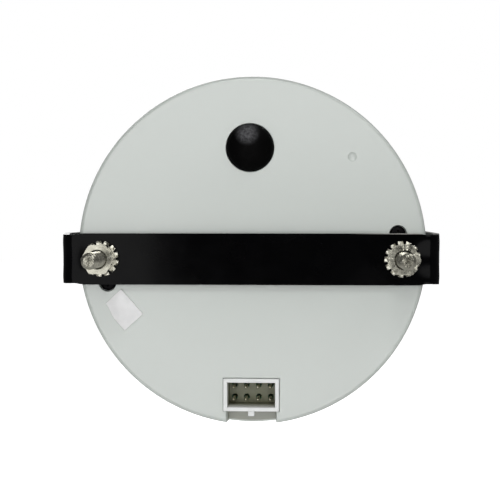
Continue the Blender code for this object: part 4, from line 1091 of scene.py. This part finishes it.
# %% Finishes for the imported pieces
STAYING = {
    OPAL: ("light_guide", "dial_led_1", "dial_led_2", "dial_led_3", "dial_led_4"),
    PBT: ("lcd_holder", "stepper_motor", "power_inductor", "ribbon_socket_front", "ribbon_socket_rear",
          "ribbon_cable"),
    BOARD: ("display_board", "rear_board"),
    POLYCARBONATE: ("inner_frame",),
    ZINC: ("board_screw_1", "board_screw_2", "board_screw_3"),
    EPOXY: ("tact_switch", "switch_plunger", "controller_chip", "voltage_regulator", "buzzer"),
    ALUMINIUM: ("filter_capacitor", "pointer_shaft"),
    SEAL: ("lens_gasket",),
    READOUT: ("lcd_glass",),
}
for material, nodes in STAYING.items():
    for node in nodes:
        for slot in bpy.data.objects[node].material_slots:
            slot.material = material
print(sum(len(nodes) for nodes in STAYING.values()), "packed pieces keep their shape")

# %% [markdown]
# ## Studio
# The gauge floats over a plain pale floor against white, as in a catalogue. The floor and the sky look
# white to the camera but light the gauge little, because the lights do that: a large soft box behind
# the camera for the face, a strip above it and a key at the upper right for the bright edge of the
# rim, and a fill before the dial. A dark card near the camera lies in the glossy strap's reflection:
# without it black paint would look grey. The camera sees neither the lights nor the card.

# %% Floor, lights and card
def matt_paint(name, code, roughness):
    """A plain paint for what stands round the gauge. Returns the material and its shader."""
    paint = bpy.data.materials.new(name)
    paint.use_nodes = True
    shader = paint.node_tree.nodes["Principled BSDF"]
    shader.inputs["Base Color"].default_value = linear(code)
    shader.inputs["Roughness"].default_value = roughness
    return paint, shader


FLOOR_Z = -0.12
bpy.ops.mesh.primitive_plane_add(size=6, location=(0, 0, FLOOR_Z))
floor = started("studio_floor")
floor_paint, floor_shader = matt_paint("pale_matt_floor_paint", "#FFFFFF", 0.9)
floor_shader.inputs["Emission Color"].default_value = linear("#FFFFFF")
seen = add(floor_paint.node_tree, "LightPath").outputs["Is Camera Ray"]
glow = add(floor_paint.node_tree, "MapRange", {"Value": seen, "To Max": 1.0})
floor_paint.node_tree.links.new(glow.outputs[0], floor_shader.inputs["Emission Strength"])
floor.data.materials.append(floor_paint)

world = bpy.context.scene.world or bpy.data.worlds.new("studio_white")
bpy.context.scene.world = world
world.use_nodes = True
world.node_tree.nodes.clear()
WORLD_SEEN, WORLD_LIGHT = 1.0, 0.2
ray = add(world.node_tree, "LightPath").outputs["Is Camera Ray"]
strength = add(world.node_tree, "MapRange", {"Value": ray, "To Min": WORLD_LIGHT, "To Max": WORLD_SEEN})
sky = add(world.node_tree, "Background", {"Color": linear("#FFFFFF"), "Strength": strength.outputs[0]})
add(world.node_tree, "OutputWorld", {"Surface": sky.outputs[0]})


def softbox(name, place, aim, width, height, radiance):
    """A rectangular area light turned to a point; its power follows from how bright it looks."""
    bpy.ops.object.light_add(type="AREA", location=place)
    light = bpy.context.object
    light.name = light.data.name = name
    light.data.shape = "RECTANGLE"
    light.data.size, light.data.size_y = width, height
    light.data.energy = radiance * math.pi * width * height
    light.rotation_euler = (Vector(aim) - Vector(place)).to_track_quat("-Z", "Y").to_euler()
    light.visible_camera = False
    return light


REAR_FACE = (0, REAR_Y, 0)
softbox("soft_box_behind_camera", (0.0, -0.42, 0.0), REAR_FACE, 0.3, 0.28, 2.3)
softbox("strip_above_camera", (-0.02, -0.42, 0.36), REAR_FACE, 0.25, 0.08, 9.0)
softbox("key_above_right", (0.35, -0.25, 0.5), REAR_FACE, 0.25, 0.25, 2.6)
softbox("fill_before_dial", (-0.2, 0.55, 0.3), (0, 0, 0), 0.4, 0.4, 3.0)

CARD_AT, CARD_WIDTH, CARD_HEIGHT = (0.075, -0.375, -0.007), 0.28, 0.062
bpy.ops.mesh.primitive_plane_add(size=1, location=CARD_AT, rotation=(math.pi / 2, 0, 0))
card = bpy.context.object
card.name = "dark_card"
card.scale = (CARD_WIDTH, CARD_HEIGHT, 1)
card.visible_camera = False
card.data.materials.append(matt_paint("matt_black_card", "#0A0A0A", 0.95)[0])
print("four lights, a card and a floor", round(-FLOOR_Z / MM), "mm below the gauge's middle")

# %% [markdown]
# The camera stands a little to the right of the gauge's axis and above it, about 0.3 m behind the rear
# face, with a short telephoto lens.

# %% Camera
LENS_MM = 91.8
AIM = Vector((-0.0003, REAR_Y, 0.0003))
CAMERA_AT = Vector((0.017, -0.365, 0.009))
bpy.ops.object.camera_add(location=CAMERA_AT)
camera = bpy.context.object
camera.name = "camera_behind_gauge"
camera.data.lens = LENS_MM
camera.data.sensor_width = 36
camera.data.clip_start = 0.01
camera.rotation_euler = (AIM - CAMERA_AT).to_track_quat("-Z", "Y").to_euler()
bpy.context.scene.camera = camera
bpy.context.scene.view_settings.view_transform = "Standard"
print("camera", round((CAMERA_AT - AIM).length / MM), "mm from the rear face")
